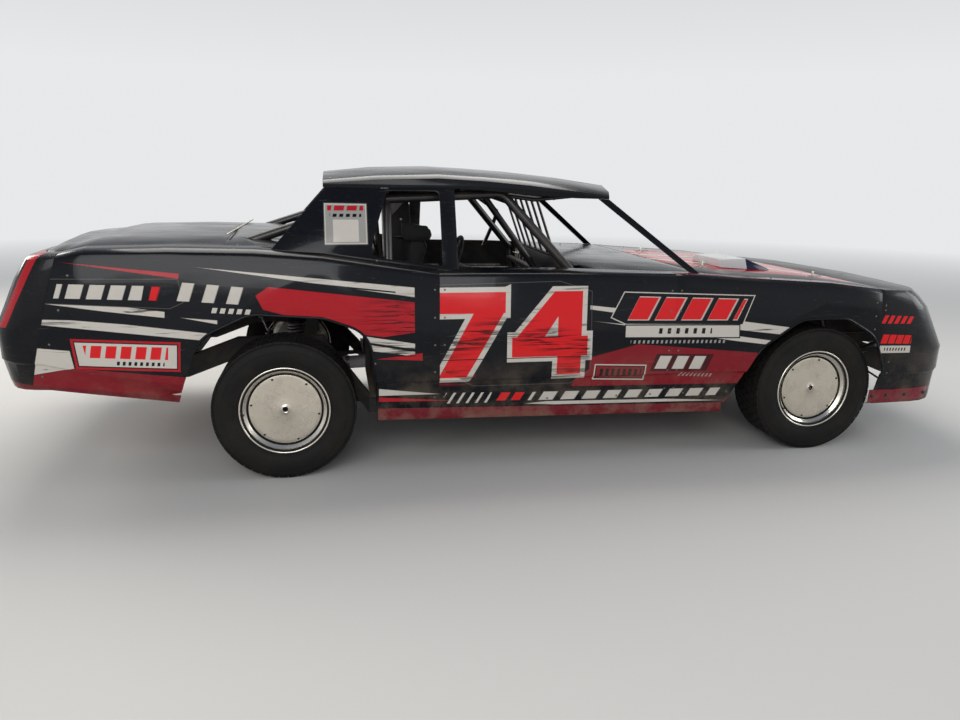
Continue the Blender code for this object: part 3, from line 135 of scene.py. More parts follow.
class Tree:
    """A node tree that nodes are added to by one method."""

    def __init__(self, tree):
        self.tree = tree

    def node(self, kind, settings=(), values=(), out=0):
        """Adds a node, sets it, fills or links its sockets, and gives one of its outputs."""
        made = self.tree.nodes.new(kind)
        for key, value in dict(settings).items():
            setattr(made, key, value)
        for key, value in dict(values).items():
            if isinstance(value, Term):
                self.tree.links.new(value.socket, made.inputs[key])
            else:
                socket = made.inputs[key]
                socket.default_value = (*value, 1) if socket.type == "RGBA" and len(value) == 3 else value
        return Term(self, made.outputs[out])

    def maths(self, operation, *values, clamp=False):
        return self.node("ShaderNodeMath", {"operation": operation, "use_clamp": clamp}, dict(enumerate(values)))

    def low(self, a, b):
        return self.maths("MINIMUM", a, b)

    def high(self, a, b):
        return self.maths("MAXIMUM", a, b)

    def mix(self, share, a, b):
        """Colour b over colour a."""
        return self.node("ShaderNodeMix", {"data_type": "RGBA"}, {0: share, 6: a, 7: b}, out=2)

    def axis(self, name, source=None):
        """One coordinate of a place."""
        return self.node("ShaderNodeSeparateXYZ", values={0: source or self.place}, out="XYZ".index(name))

    def seen_directly(self):
        """1 for what the camera, mirrors and glass see."""
        rays = None
        for ray in ("Is Camera Ray", "Is Glossy Ray", "Is Transmission Ray"):
            one = self.node("ShaderNodeLightPath", out=ray)
            rays = one if rays is None else self.high(rays, one)
        return rays


class Finish(Tree):
    """One material and the nodes behind it."""

    def __init__(self, name, colour, roughness=0.5, metallic=0.0, **constants):
        self.material = bpy.data.materials.new(name)
        self.material.use_nodes = True
        super().__init__(self.material.node_tree)
        self.shader = self.tree.nodes["Principled BSDF"]
        self.shader.inputs["Base Color"].default_value = (*colour, 1)
        self.shader.inputs["Roughness"].default_value = roughness
        self.shader.inputs["Metallic"].default_value = metallic
        for key, value in constants.items():
            self.shader.inputs[SOCKETS.get(key, key.replace("_", " ").title())].default_value = value
        self.place = self.node("ShaderNodeTexCoord", out="Object")

    def mapped(self, scale=(1, 1, 1), turn=(0, 0, 0), shift=(0, 0, 0)):
        """The object's coordinates, shifted, turned and scaled."""
        return self.node("ShaderNodeMapping", values={0: self.place, 1: shift, 2: turn, 3: scale})

    def noise(self, scale, detail=3.0, rough=0.5, spread=0.0, source=None):
        values = {"Vector": source or self.place, "Scale": scale, "Detail": detail, "Roughness": rough}
        return self.node("ShaderNodeTexNoise", values={**values, "Distortion": spread})

    def cells(self, scale, source=None, feature="F1", out="Distance"):
        values = {"Vector": source or self.place, "Scale": scale}
        return self.node("ShaderNodeTexVoronoi", {"feature": feature}, values, out=out)

    def bump(self, height, distance, strength=1.0, under=None):
        values = {"Height": height, "Distance": distance, "Strength": strength}
        if under:
            values["Normal"] = under
        return self.node("ShaderNodeBump", values=values)

    def facing_up(self):
        return self.axis("Z", self.node("ShaderNodeNewGeometry", out="Normal"))

    def edge_wear(self, radius=0.006):
        """High along outer edges, from the difference between the true and a rounded normal."""
        soft = self.node("ShaderNodeBevel", {"samples": 4}, {"Radius": radius})
        true = self.node("ShaderNodeNewGeometry", out="Normal")
        same = self.node("ShaderNodeVectorMath", {"operation": "DOT_PRODUCT"}, {0: soft, 1: true}, out="Value")
        return (1 - same).share(0.02, 0.3)

    def feed(self, **links):
        """Links the shader's own sockets."""
        for key, value in links.items():
            self.tree.links.new(value.socket, self.shader.inputs[key.replace("_", " ").title()])
        return self.material


SOCKETS = {"specular": "Specular IOR Level"}


# Paint and graphics
class Graphics(Finish):
    """Glossy paint with vinyl shapes laid on it, drawn in stations and heights on the car's side."""

    def __init__(self, name, colour, roughness=0.2, **constants):
        super().__init__(name, colour, roughness, coat_weight=0.14, coat_roughness=0.04, specular=0.14, **constants)
        self.along = self.axis("X") - REAR_AXLE_X
        self.height = self.axis("Z")
        self.colour = colour

    def inside(self, points, u=None, v=None):
        """Distance inside a convex outline of points given clockwise as (station, height); below 0 outside it."""
        u, v = u or self.along, v or self.height
        nearest = None
        for (x0, z0), (x1, z1) in zip(points, points[1:] + points[:1]):
            length = math.hypot(x1 - x0, z1 - z0)
            nx, nz = (z1 - z0) / length, -(x1 - x0) / length
            offset = self.maths("MULTIPLY_ADD", u, nx, -x0 * nx - z0 * nz)
            distance = self.maths("MULTIPLY_ADD", v, nz, offset)
            nearest = distance if nearest is None else self.low(nearest, distance)
        return nearest

    def lay(self, colour, mask):
        """One shape over what is there."""
        self.colour = self.mix(mask, self.colour, colour)

    def streaks(self, turn, seed, fine=1.0):
        """Dry brush strokes along a slanted direction, from 0 to 1."""
        stretched = self.mapped((1.3 * fine, 1, 26 * fine), (0, math.radians(turn), 0), (seed, 0, 0))
        return self.noise(2.2, 5, 0.62, 0.7, stretched)

    def finish(self, dust_top=0.62, dust=0.55, wave=1.0, shine=0.16):
        """Adds road dust low down and on ledges, scuffs, and the sheet's slight waves; returns the material."""
        low = 1 - self.height.share(0.26, dust_top)
        cloud = self.noise(7, 6, 0.6)
        ledge = self.facing_up().share(0.35, 1.0) * self.noise(3.2, 7, 0.68).share(0.4, 0.78) * 0.1
        film = low * cloud.share(0.42, 0.75) * dust + self.noise(46, 4, 0.7).share(0.6, 0.8) * 0.06 + ledge
        scuffs = self.noise(3.4, 8, 0.75, 0.4, self.mapped((0.5, 1, 2.4))).share(0.53, 0.62)
        hair = self.noise(30, 3, 0.5, 1.2, self.mapped((0.25, 0.6, 3.0), (0, 0.35, 0))).share(0.66, 0.7)
        painted = self.mix(film, self.mix(hair * 0.05, self.colour, PALE_GREY), DUST)
        rough = self.maths("MULTIPLY_ADD", film, 0.9, shine) + scuffs * 0.07
        sheet = self.bump(self.noise(2.3, 2, 0.4), 0.02 * wave, 0.8)
        normal = self.bump(self.noise(5.5, 2, 0.5, 0.2, self.mapped((0.5, 1, 1.5))), 0.004 * wave, 0.6, sheet)
        return self.feed(base_color=painted, roughness=rough, coat_weight=0.14 - film * 0.3, normal=normal)


# Columns: colour, outline in stations and heights, clockwise from the upper rear corner
QUARTER_SHAPES = (
    (BAND_RED, ((-0.875, 1.035), (-0.414, 0.985), (-0.418, 0.963))),
    (WHITE, ((-0.974, 0.864), (-0.694, 0.851), (-0.484, 0.82), (-0.486, 0.794), (-0.736, 0.827))),
    (WHITE, ((-0.414, 0.792), (-0.268, 0.778), (-0.269, 0.761))),
    (WHITE, ((-0.999, 0.796), (-0.861, 0.79), (-0.649, 0.768), (-0.279, 0.716), (-0.304, 0.686), (-0.999, 0.774))),
    (WHITE, ((-1.021, 0.673), (-0.882, 0.657), (-0.872, 0.578), (-1.045, 0.55))),
    (WHITE, ((-0.325, 1.01), (0.605, 0.912), (0.605, 0.868))),
    (BLACK, ((-0.022, 0.957), (0.518, 0.895), (0.518, 0.888), (-0.022, 0.949))),
    (
        BAND_RED,
        (
            (-0.071, 0.822), (-0.1, 0.885), (-0.044, 0.923), (0.605, 0.844), (0.605, 0.703), (0.462, 0.685),
            (0.363, 0.699),
        ),
    ),
    (WHITE, ((0.37, 0.691), (0.605, 0.65), (0.605, 0.624), (0.385, 0.662))),
    (WHITE, ((0.395, 0.649), (0.605, 0.612), (0.605, 0.59), (0.41, 0.62))),
    (BAND_RED, ((0.43, 0.581), (0.64, 0.604), (0.64, 0.569))),
)
LOW_SHAPES = (
    (WHITE, ((0.4, 0.437), (0.72, 0.396), (0.4, 0.398))),
    (BAND_RED, ((0.4, 0.393), (0.78, 0.36), (0.4, 0.368))),
    (WHITE, ((1.15, 0.328), (1.26, 0.336), (1.9, 0.322), (2.2, 0.302), (1.3, 0.317))),
)
FENDER_SHAPES = (
    (WHITE, ((1.44, 0.817), (2.255, 0.722), (2.62, 0.671), (2.62, 0.622), (2.259, 0.676), (1.44, 0.778))),
    (WHITE, ((1.44, 0.764), (2.246, 0.645), (2.62, 0.6), (2.62, 0.57), (2.248, 0.619), (1.44, 0.744))),
    (FIELD_RED, ((1.38, 0.42), (1.463, 0.558), (1.711, 0.618), (2.52, 0.541), (2.22, 0.2), (1.38, 0.2))),
)
BLOCK = (
    (0.598, 0.671), (0.606, 0.912), (1.3, 0.926), (1.454, 0.878), (1.462, 0.5), (1.371, 0.435), (0.889, 0.438),
    (0.64, 0.56),
)
BLOCK_MIDDLE = 1.03
# The two digits of the start number, as slanted bars: convex outlines whose union is the digit
DIGITS = (
    ((0.66, 0.886), (1.036, 0.886), (1.036, 0.786), (0.66, 0.786)),
    ((0.906, 0.83), (1.036, 0.886), (1.036, 0.8), (0.85, 0.478), (0.714, 0.478)),
    ((1.296, 0.886), (1.416, 0.886), (1.416, 0.478), (1.296, 0.478)),
    ((1.07, 0.668), (1.448, 0.668), (1.448, 0.57), (1.07, 0.57)),
    ((1.276, 0.886), (1.34, 0.886), (1.34, 0.83), (1.186, 0.6), (1.07, 0.6), (1.07, 0.64)),
)
# Columns: colour, outline in stations and distances from the car's middle, on the hood
HOOD_SHAPES = (
    (BAND_RED, ((2.05, 0.3), (2.3, 0.56), (3.2, 0.635), (3.2, 0.43), (2.05, 0.19))),
    (WHITE, ((2.05, 0.35), (2.3, 0.59), (3.2, 0.665), (3.2, 0.64), (2.3, 0.565), (2.05, 0.318))),
    (WHITE, ((2.05, 0.16), (3.2, 0.4), (3.2, 0.345), (2.05, 0.105))),
    (BAND_RED, ((2.05, 0.08), (3.2, 0.315), (3.2, 0.0), (2.05, 0.0))),
    (BLACK, ((2.35, 0.455), (2.42, 0.5), (3.2, 0.56), (3.2, 0.545))),
)
EDGE_SHAPES = (
    (PALE_GREY, ((1.9, 0.896), (2.11, 0.912), (2.9, 0.792), (3.2, 0.7), (3.2, 0.662), (2.9, 0.752), (2.11, 0.886))),
    (BAND_RED, ((1.9, 0.872), (2.9, 0.868), (2.9, 0.858), (1.9, 0.858))),
)


def slats(g, outline, step, lean, colour, share=0.56):
    """Slanted bars inside an outline: a plain pattern."""
    region = g.inside(outline)
    phase = g.maths("FRACT", (g.along + g.height * lean) / step)
    g.lay(colour, (share - phase).steep(0.05) * phase.steep(0.05) * region.steep())


def framed(g, outline, border, line, inner, edge=0.01):
    """A blank plate with a coloured border and a thin line inside it."""
    depth = g.inside(outline)
    g.lay(border, depth.steep())
    g.lay(line, (depth - edge).steep())
    g.lay(inner, (depth - edge - 0.005).steep())


def brushed_shapes(g, shapes, turn, seed, worn, u=None, v=None, where=None):
    """Lays shapes and wears pale ones through with dry brush strokes."""
    strokes = g.streaks(turn, seed)
    for colour, outline in shapes:
        mask = g.inside(list(outline), u, v).steep()
        if colour in (WHITE, PALE_GREY):
            mask = mask * (1 - strokes.share(worn, worn + 0.05) * 0.85)
        if where is not None:
            mask = mask * where
        g.lay(colour, mask)


def below_edge(g):
    """Below the sloping line of the rear's maroon edge."""
    return (0.502 - g.height - (g.along + 1.054) * 0.125).steep()


def quarter_paint():
    """Rear quarter: black with the red and white band, brushed edges and plain fields."""
    g = Graphics("quarter_paint", BLACK)
    brushed_shapes(g, QUARTER_SHAPES, 9, 0.3, 0.6)
    lip = g.inside([(-1.06, 0.545), (-0.872, 0.578), (-0.4, 0.522), (-0.4, 0.3), (-1.06, 0.3)])
    g.lay(FIELD_RED, lip.steep())
    box = g.inside([(-0.966, 0.862), (-0.948, 0.968), (-0.42, 0.963), (-0.4, 0.86), (-0.462, 0.832)])
    g.lay(OUTLINE_GREY, box.steep())
    g.lay(BLACK, (box - 0.003).steep())
    slats(g, [(-0.925, 0.885), (-0.905, 0.945), (-0.56, 0.934), (-0.575, 0.872)], 0.085, -0.35, WHITE, 0.72)
    slats(g, [(-0.545, 0.872), (-0.528, 0.93), (-0.485, 0.928), (-0.5, 0.868)], 0.2, -0.35, NUMBER_RED, 0.9)
    slats(g, [(-0.47, 0.87), (-0.435, 0.95), (-0.13, 0.92), (-0.15, 0.845)], 0.105, -0.35, WHITE, 0.5)
    slats(g, [(-0.3, 0.812), (-0.29, 0.835), (-0.11, 0.822), (-0.118, 0.8)], 0.036, -0.35, WHITE, 0.6)
    framed(g, [(-0.864, 0.576), (-0.876, 0.71), (-0.428, 0.684), (-0.437, 0.55)], BAND_RED, BLACK, WHITE)
    slats(g, [(-0.82, 0.625), (-0.828, 0.68), (-0.48, 0.662), (-0.485, 0.606)], 0.062, -0.2, NUMBER_RED, 0.7)
    slats(g, [(-0.7, 0.588), (-0.704, 0.606), (-0.5, 0.594), (-0.502, 0.578)], 0.024, -0.2, BLACK, 0.5)
    brushed_shapes(g, LOW_SHAPES, 4, 1.9, 0.7)
    smear = g.streaks(-14, 2.2, 1.4).share(0.5, 0.58) * g.along.share(0.3, 0.52)
    g.lay(BLACK, smear * g.inside([(0.3, 0.56), (0.3, 0.84), (0.62, 0.87), (0.62, 0.56)]).steep(0.06) * 0.9)
    seam = (abs(g.along + 1.046 - (g.height - 0.548) * 0.224) - 0.0016) * -1
    g.lay(OUTLINE_GREY, seam.steep(0.002) * (g.height - 0.52).steep())
    g.lay(MAROON, below_edge(g) * (0 - g.along).steep())
    return g.finish(0.6)


def start_number(g):
    """The two red digits with their pale border, on a black field, read from either side."""
    left = g.axis("Y").steep(0.01)
    u = g.along + left * (2 * BLOCK_MIDDLE - g.along * 2)
    strokes = g.streaks(6, 0.7)
    block = g.inside(list(BLOCK))
    g.lay(OUTLINE_GREY, (block + 0.009).steep() * (1 - (block + 0.006).steep()))
    g.lay(BLACK, block.steep())
    lower = g.inside([(0.64, 0.44), (0.64, 0.556), (0.89, 0.556), (0.89, 0.44)]).steep(0.02)
    g.lay(BAND_RED, lower * g.streaks(84, 4.1, 0.8).share(0.52, 0.6) * 0.7)
    digits = None
    for bar in DIGITS:
        depth = g.inside(list(bar), u)
        digits = depth if digits is None else g.high(digits, depth)
    g.lay(WHITE, (digits + 0.024).steep() * (1 - strokes.share(0.6, 0.66) * 0.6))
    g.lay(NUMBER_RED, digits.steep())
    wave = g.maths("SINE", g.along * 7.5) * 0.045
    belt = 1 - (abs(g.height - wave - 0.655) / 0.075)
    g.lay(BLACK, (belt.share(-0.1, 0.6) * g.streaks(-8, 5.2, 1.3).share(0.46, 0.54)) * block.steep(0.02) * 0.85)
    g.lay(PALE_GREY, (belt.share(0.3, 1.0) * g.streaks(-11, 7.7, 1.2).share(0.6, 0.66)) * block.steep(0.02) * 0.55)
    g.lay(
        BLACK,
        (0.54 - g.height).share(-0.03, 0.05) * g.streaks(86, 3.3, 0.9).share(0.5, 0.58) * block.steep() * 0.7,
    )
    seam = abs(g.height - 0.566) - 0.002
    g.lay(BLACK, (0 - seam).steep(0.001) * block.steep())


def lower_band(g):
    """The black band along the sill with its row of slanted bars and pale wedges."""
    band = g.inside([(0.56, 0.3), (0.64, 0.425), (2.3, 0.392), (2.2, 0.29)])
    g.lay(BLACK, band.steep())
    slats(g, [(0.735, 0.345), (0.755, 0.4), (0.98, 0.394), (0.96, 0.342)], 0.046, -0.6, WHITE, 0.3)
    slats(g, [(0.985, 0.35), (1.005, 0.392), (1.15, 0.388), (1.13, 0.348)], 0.072, -0.6, NUMBER_RED, 0.66)
    slats(g, [(1.16, 0.345), (1.185, 0.388), (2.185, 0.372), (2.16, 0.332)], 0.112, -0.6, WHITE, 0.66)
    brushed_shapes(g, LOW_SHAPES, 4, 1.9, 0.7)


def sign(g):
    """The blank sign that runs over the door's front edge and the fender."""
    outer = g.inside([(1.56, 0.752), (1.625, 0.88), (2.325, 0.852), (2.268, 0.7), (1.64, 0.716)])
    g.lay(WHITE, outer.steep())
    g.lay(BLACK, (outer - 0.005).steep())
    slats(g, [(1.645, 0.738), (1.69, 0.856), (2.285, 0.834), (2.235, 0.726)], 0.142, -0.5, WHITE, 0.8)
    slats(g, [(1.65, 0.742), (1.692, 0.852), (2.28, 0.83), (2.232, 0.73)], 0.142, -0.5, NUMBER_RED, 0.745)
    bar = g.inside([(1.642, 0.655), (1.642, 0.712), (2.248, 0.7), (2.252, 0.64)])
    g.lay(BLACK, (bar + 0.006).steep())
    g.lay(WHITE, bar.steep())
    slats(g, [(1.8, 0.668), (1.802, 0.696), (2.1, 0.69), (2.1, 0.662)], 0.046, -0.1, BLACK, 0.4)
    slats(g, [(1.67, 0.622), (1.67, 0.638), (2.18, 0.628), (2.18, 0.612)], 0.024, -0.2, PALE_GREY, 0.45)


def red_field_signs(g):
    """Two small blank signs on the red field."""
    framed(g, [(1.484, 0.442), (1.49, 0.524), (1.762, 0.512), (1.756, 0.43)], WHITE, BLACK, FIELD_RED, 0.006)
    slats(g, [(1.51, 0.462), (1.514, 0.5), (1.738, 0.49), (1.734, 0.452)], 0.03, -0.1, BLACK, 0.55)
    shade = g.inside([(1.78, 0.478), (1.812, 0.566), (2.12, 0.556), (2.086, 0.468)])
    g.lay(BLACK, shade.steep() * 0.75)
    slats(g, [(1.795, 0.49), (1.82, 0.556), (2.105, 0.546), (2.078, 0.48)], 0.094, -0.42, WHITE, 0.68)
    slats(g, [(1.93, 0.446), (1.94, 0.466), (2.13, 0.452), (2.12, 0.434)], 0.022, -0.6, PALE_GREY, 0.4)


def door_paint():
    """Door: the band's run, brushed edges, the start number and the plain fields."""
    g = Graphics("door_paint", BLACK)
    brushed_shapes(g, QUARTER_SHAPES[-3:], 9, 0.3, 0.6)
    brushed_shapes(g, FENDER_SHAPES, 9, 1.1, 0.62)
    start_number(g)
    lower_band(g)
    sign(g)
    red_field_signs(g)
    return g.finish(0.6)


def fender_paint():
    """Front fender: the band's end, brushed edges and plain fields."""
    g = Graphics("fender_paint", BLACK)
    brushed_shapes(g, FENDER_SHAPES, 9, 1.1, 0.62)
    lower_band(g)
    sign(g)
    red_field_signs(g)
    arch = g.inside([(2.22, 0.2), (2.44, 0.59), (2.58, 0.66), (3.1, 0.66), (3.1, 0.2)])
    g.lay(BLACK, arch.steep())
    across = abs(g.axis("Y"))
    top = (g.height - 1.114 + g.along * 0.083).steep(0.002)
    brushed_shapes(g, EDGE_SHAPES, 2, 2.7, 0.66, v=across, where=top)
    return g.finish(0.6)


def hood_paint():
    """Hood: brushed stripes, worn towards the rear."""
    g = Graphics("hood_paint", BLACK)
    across = abs(g.axis("Y"))
    brushed_shapes(g, HOOD_SHAPES, 2, 3.1, 0.64, v=across)
    torn = g.noise(2.0, 6, 0.7, 0.9, g.mapped((1.1, 14, 1), (0, 0, 0.05))).share(0.56, 0.62)
    g.lay(BLACK, torn * g.along.share(2.9, 2.1) * 0.85)
    brushed_shapes(g, EDGE_SHAPES, 2, 2.7, 0.66, v=across)
    return g.finish(0.62)


def nose_paint():
    """Black moulded plastic with three small blank signs on each side."""
    g = Graphics("nose_plastic", (0.0055, 0.0058, 0.007), 0.3)
    slats(g, [(3.07, 0.69), (3.078, 0.735), (3.272, 0.722), (3.262, 0.684)], 0.04, -0.5, NUMBER_RED, 0.62)
    slats(g, [(3.07, 0.584), (3.082, 0.632), (3.268, 0.622), (3.262, 0.576)], 0.046, -0.3, NUMBER_RED, 0.86)
    bar = g.inside([(3.072, 0.532), (3.074, 0.572), (3.262, 0.566), (3.262, 0.528)])
    g.lay(WHITE, bar.steep())
    slats(g, [(3.1, 0.544), (3.1, 0.56), (3.235, 0.556), (3.235, 0.54)], 0.018, -0.2, BLACK, 0.45)
    across = abs(g.axis("Y"))
    top = (g.height - 0.8).steep(0.01)
    brushed_shapes(g, EDGE_SHAPES, 2, 2.7, 0.66, v=across, where=top)
    return g.finish(0.6, shine=0.27)


def tail_paint():
    """Tail cover: black over the maroon edge."""
    g = Graphics("tail_paint", (0.005, 0.0054, 0.0075), 0.26)
    edge = g.inside([(-1.165, 0.76), (-1.002, 1.075), (-0.965, 1.075), (-1.128, 0.76)])
    g.lay(BAND_RED, edge.steep())
    g.lay(MAROON, below_edge(g))
    return g.finish(0.6, shine=0.24)


def sail_paint():
    """Sail panels: black with plain fields."""
    g = Graphics("sail_paint", BLACK)
    framed(
        g, [(0.204, 1.098), (0.204, 1.286), (0.404, 1.284), (0.404, 1.098)], OUTLINE_GREY, WHITE, PALE_GREY, 0.004,
    )
    slats(g, [(0.222, 1.25), (0.222, 1.272), (0.386, 1.272), (0.386, 1.25)], 0.058, -0.2, BAND_RED, 0.8)
    slats(g, [(0.232, 1.222), (0.232, 1.236), (0.376, 1.236), (0.376, 1.222)], 0.03, -0.2, BLACK, 0.6)
    g.lay(WHITE, g.inside([(0.246, 1.112), (0.246, 1.21), (0.362, 1.21), (0.362, 1.112)]).steep())
    return g.finish(0.62)


# Floor, light and camera
def studio():
    """Pale floor and surround, soft lamps, and the photograph's camera."""
    bpy.ops.object.select_all(action="DESELECT")
    bpy.ops.mesh.primitive_plane_add(size=160, location=(0, 0, 0))
    floor = bpy.context.object
    floor.name = "studio_floor"
    ground = Finish("studio_floor", (0.56, 0.55, 0.53), 0.75)
    far = ground.node("ShaderNodeVectorMath", {"operation": "LENGTH"}, {0: ground.place}, out="Value")
    haze = far.share(4.2, 15.0) * ground.seen_directly()
    glow = ground.node("ShaderNodeEmission", values={"Color": BACKGROUND, "Strength": 1.0})
    shaded = Term(ground, ground.shader.outputs[0])
    blend = ground.node("ShaderNodeMixShader", values={0: haze, 1: shaded, 2: glow})
    ground.tree.links.new(blend.socket, ground.tree.nodes["Material Output"].inputs["Surface"])
    floor.data.materials.append(ground.material)

    world = bpy.data.worlds.new("studio")
    bpy.context.scene.world = world
    world.use_nodes = True
    air = Tree(world.node_tree)
    direction = air.node("ShaderNodeTexCoord", out="Generated")
    rise = air.axis("Z", direction)
    soft = air.node("ShaderNodeBackground", values={"Color": (0.8, 0.85, 0.92), "Strength": 0.4})
    tone = air.mix(rise.share(0.12, 0.75), BACKGROUND, (0.2, 0.23, 0.28))
    seen = air.node("ShaderNodeBackground", values={"Color": tone, "Strength": 1.0})
    blend = air.node("ShaderNodeMixShader", values={0: air.seen_directly(), 1: soft, 2: seen})
    air.tree.links.new(blend.socket, air.tree.nodes["World Output"].inputs["Surface"])

    # Columns: name, place, watts, width, height, share seen in reflections, colour
    lamps = (
        ("overhead", (-0.5, 2.6, 5.6), 330, 6.0, 4.0, 0.3, (1.0, 0.97, 0.92)),
        ("camera_fill", (-2.5, -6.5, 3.6), 190, 5.0, 3.0, 0.4, (1.0, 1.0, 1.0)),
        ("rear_rim", (-6.0, 3.5, 3.0), 150, 3.0, 2.5, 0.5, (1.0, 0.96, 0.9)),
        ("front_fill", (6.5, -1.5, 2.6), 120, 3.0, 2.5, 0.5, (0.95, 0.98, 1.0)),
    )
    for name, place, watts, wide, tall, gloss, colour in lamps:
        light = bpy.data.lights.new(name, "AREA")
        light.shape = "RECTANGLE"
        light.size, light.size_y = wide, tall
        light.energy = watts
        light.color = colour
        light.specular_factor = gloss
        lamp = bpy.data.objects.new(name, light)
        lamp.location = place
        lamp.rotation_euler = (Vector((0, 0, 0.5)) - Vector(place)).to_track_quat("-Z", "Y").to_euler()
        bpy.context.scene.collection.objects.link(lamp)

    yaw, pitch, roll = (math.radians(a) for a in (CAMERA_YAW, CAMERA_PITCH, CAMERA_ROLL))
    forward = Vector((math.sin(yaw) * math.cos(pitch), math.cos(yaw) * math.cos(pitch), -math.sin(pitch)))
    level = Vector((math.cos(yaw), -math.sin(yaw), 0))
    upward = level.cross(forward)
    right = math.cos(roll) * level + math.sin(roll) * upward
    over = -math.sin(roll) * level + math.cos(roll) * upward
    data = bpy.data.cameras.new("camera")
    data.sensor_width = 36
    data.lens = CAMERA_LENS
    camera = bpy.data.objects.new("camera", data)
    camera.matrix_world = Matrix.Translation(CAMERA_AT) @ Matrix((right, over, -forward)).transposed().to_4x4()
    bpy.context.scene.collection.objects.link(camera)
    bpy.context.scene.camera = camera
    bpy.context.scene.view_settings.view_transform = "Standard"


# Plain finishes
def worn_metal(name, colour, roughness, metallic=1.0, grain=(1, 1, 1), dirt=0.35):
    """Bare metal with handling marks, fine grain and dried dirt."""
    f = Finish(name, colour, roughness, metallic)
    cloud = f.noise(9, 6, 0.65)
    fine = f.noise(60, 4, 0.6, 0.2, f.mapped(grain))
    film = cloud.share(0.48, 0.72) * dirt
    tone = f.mix(film, f.mix(fine.share(0.35, 0.7) * 0.35, colour, tuple(c * 0.62 for c in colour)), DUST)
    rough = f.maths("MULTIPLY_ADD", film, 0.45, roughness) + fine * 0.12
    normal = f.bump(fine, 0.0006, 0.35)
    return f.feed(base_color=tone, roughness=rough, metallic=metallic - film * 0.7, normal=normal)


def coated(name, colour, roughness, coat=0.2, dust=0.35, grain=420):
    """Paint or powder coat over steel, dusty where dust settles and worn at its edges."""
    f = Finish(name, colour, roughness, coat_weight=coat, coat_roughness=0.2, specular=0.35)
    up = f.facing_up()
    cloud = f.noise(8, 6, 0.6)
    film = (cloud.share(0.4, 0.8) * 0.5 + up.share(0.2, 1.0) * 0.5) * dust
    wear = f.edge_wear(0.004) * f.noise(30, 4, 0.7).share(0.5, 0.6) * 0.5
    tone = f.mix(wear, f.mix(film, colour, DUST), (0.24, 0.23, 0.22))
    rough = f.maths("MULTIPLY_ADD", film, 0.5, roughness)
    normal = f.bump(f.noise(grain, 2), 0.0004, 0.35)
    return f.feed(base_color=tone, roughness=rough, normal=normal)


def rubber(name):
    """Tyre rubber, greyer and browner where the track's clay has dried on it."""
    f = Finish(name, (0.009, 0.009, 0.009), 0.82, specular=0.16)
    cloud = f.noise(6, 6, 0.65)
    fine = f.noise(120, 5, 0.7)
    film = cloud.share(0.4, 0.8) * 0.22 + fine.share(0.5, 0.8) * 0.12
    tone = f.mix(film, (0.0085, 0.0083, 0.008), (0.07, 0.058, 0.044))
    rough = f.maths("MULTIPLY_ADD", film, 0.3, 0.62)
    return f.feed(base_color=tone, roughness=rough, normal=f.bump(fine, 0.0008, 0.4))


def spun_aluminium(name, colour, roughness, smudge):
    """Thin bright sheet with wipe marks, smudges, small dings and specks."""
    f = Finish(name, colour, roughness, 1.0)
    wipe = f.noise(5, 5, 0.6, 0.8, f.mapped((1.0, 1.0, 0.35), (0, 0.5, 0)))
    cloud = f.noise(14, 6, 0.7)
    specks = (0.1 - f.cells(70)).share(-0.04, 0.03) * f.noise(18, 2).share(0.56, 0.62)
    film = cloud.share(0.46, 0.74) * smudge + specks * 0.5
    tone = f.mix(film, colour, (0.3, 0.255, 0.2))
    rough = f.maths("MULTIPLY_ADD", wipe, 0.22, roughness) + film * 0.25
    ding = f.bump(f.noise(4.5, 3, 0.5), 0.01, 0.55)
    return f.feed(
        base_color=tone, roughness=rough, metallic=1 - film * 0.5, normal=f.bump(cloud, 0.0012, 0.35, ding),
    )


def inner_sheet(name):
    """The unpainted back of the body sheets, dull and dusty, with the odd run of old paint."""
    f = Finish(name, (0.1, 0.1, 0.1), 0.6, 0.2, specular=0.35)
    cloud = f.noise(4, 7, 0.7)
    patch = f.noise(1.7, 3, 0.6, 0.6).share(0.48, 0.54)
    tone = f.mix(cloud.share(0.4, 0.8) * 0.5, f.mix(patch * 0.6, (0.055, 0.055, 0.058), (0.02, 0.02, 0.024)), DUST)
    return f.feed(
        base_color=tone, roughness=f.maths("MULTIPLY_ADD", cloud, 0.3, 0.4), normal=f.bump(cloud, 0.002, 0.3),
    )


def woven(name, colour, pale, scale=1500.0):
    """Webbing or seat cloth with a fine weave on object coordinates."""
    f = Finish(name, colour, 0.85, sheen_weight=0.25, sheen_roughness=0.5, specular=0.25)
    x = f.maths("SINE", f.axis("Y") * scale)
    z = f.maths("SINE", (f.axis("Z") + f.axis("X") * 0.6) * scale)
    weave = x * z
    worn = f.noise(12, 5, 0.65)
    tone = f.mix(weave.share(-1.0, 1.0) * 0.45 + worn.share(0.45, 0.75) * 0.3, colour, pale)
    return f.feed(
        base_color=tone, roughness=f.maths("MULTIPLY_ADD", worn, 0.2, 0.68), normal=f.bump(weave, 0.0006, 0.5),
    )


def padded_foam(name):
    """Split foam roll-bar padding with a pebbled skin."""
    f = Finish(name, (0.014, 0.014, 0.015), 0.8, specular=0.3)
    pebble = f.cells(260)
    cloud = f.noise(10, 5, 0.6)
    tone = f.mix(cloud.share(0.45, 0.75) * 0.25, (0.013, 0.013, 0.014), DUST)
    return f.feed(
        base_color=tone, roughness=f.maths("MULTIPLY_ADD", cloud, 0.2, 0.65), normal=f.bump(pebble, 0.0012, 0.5),
    )


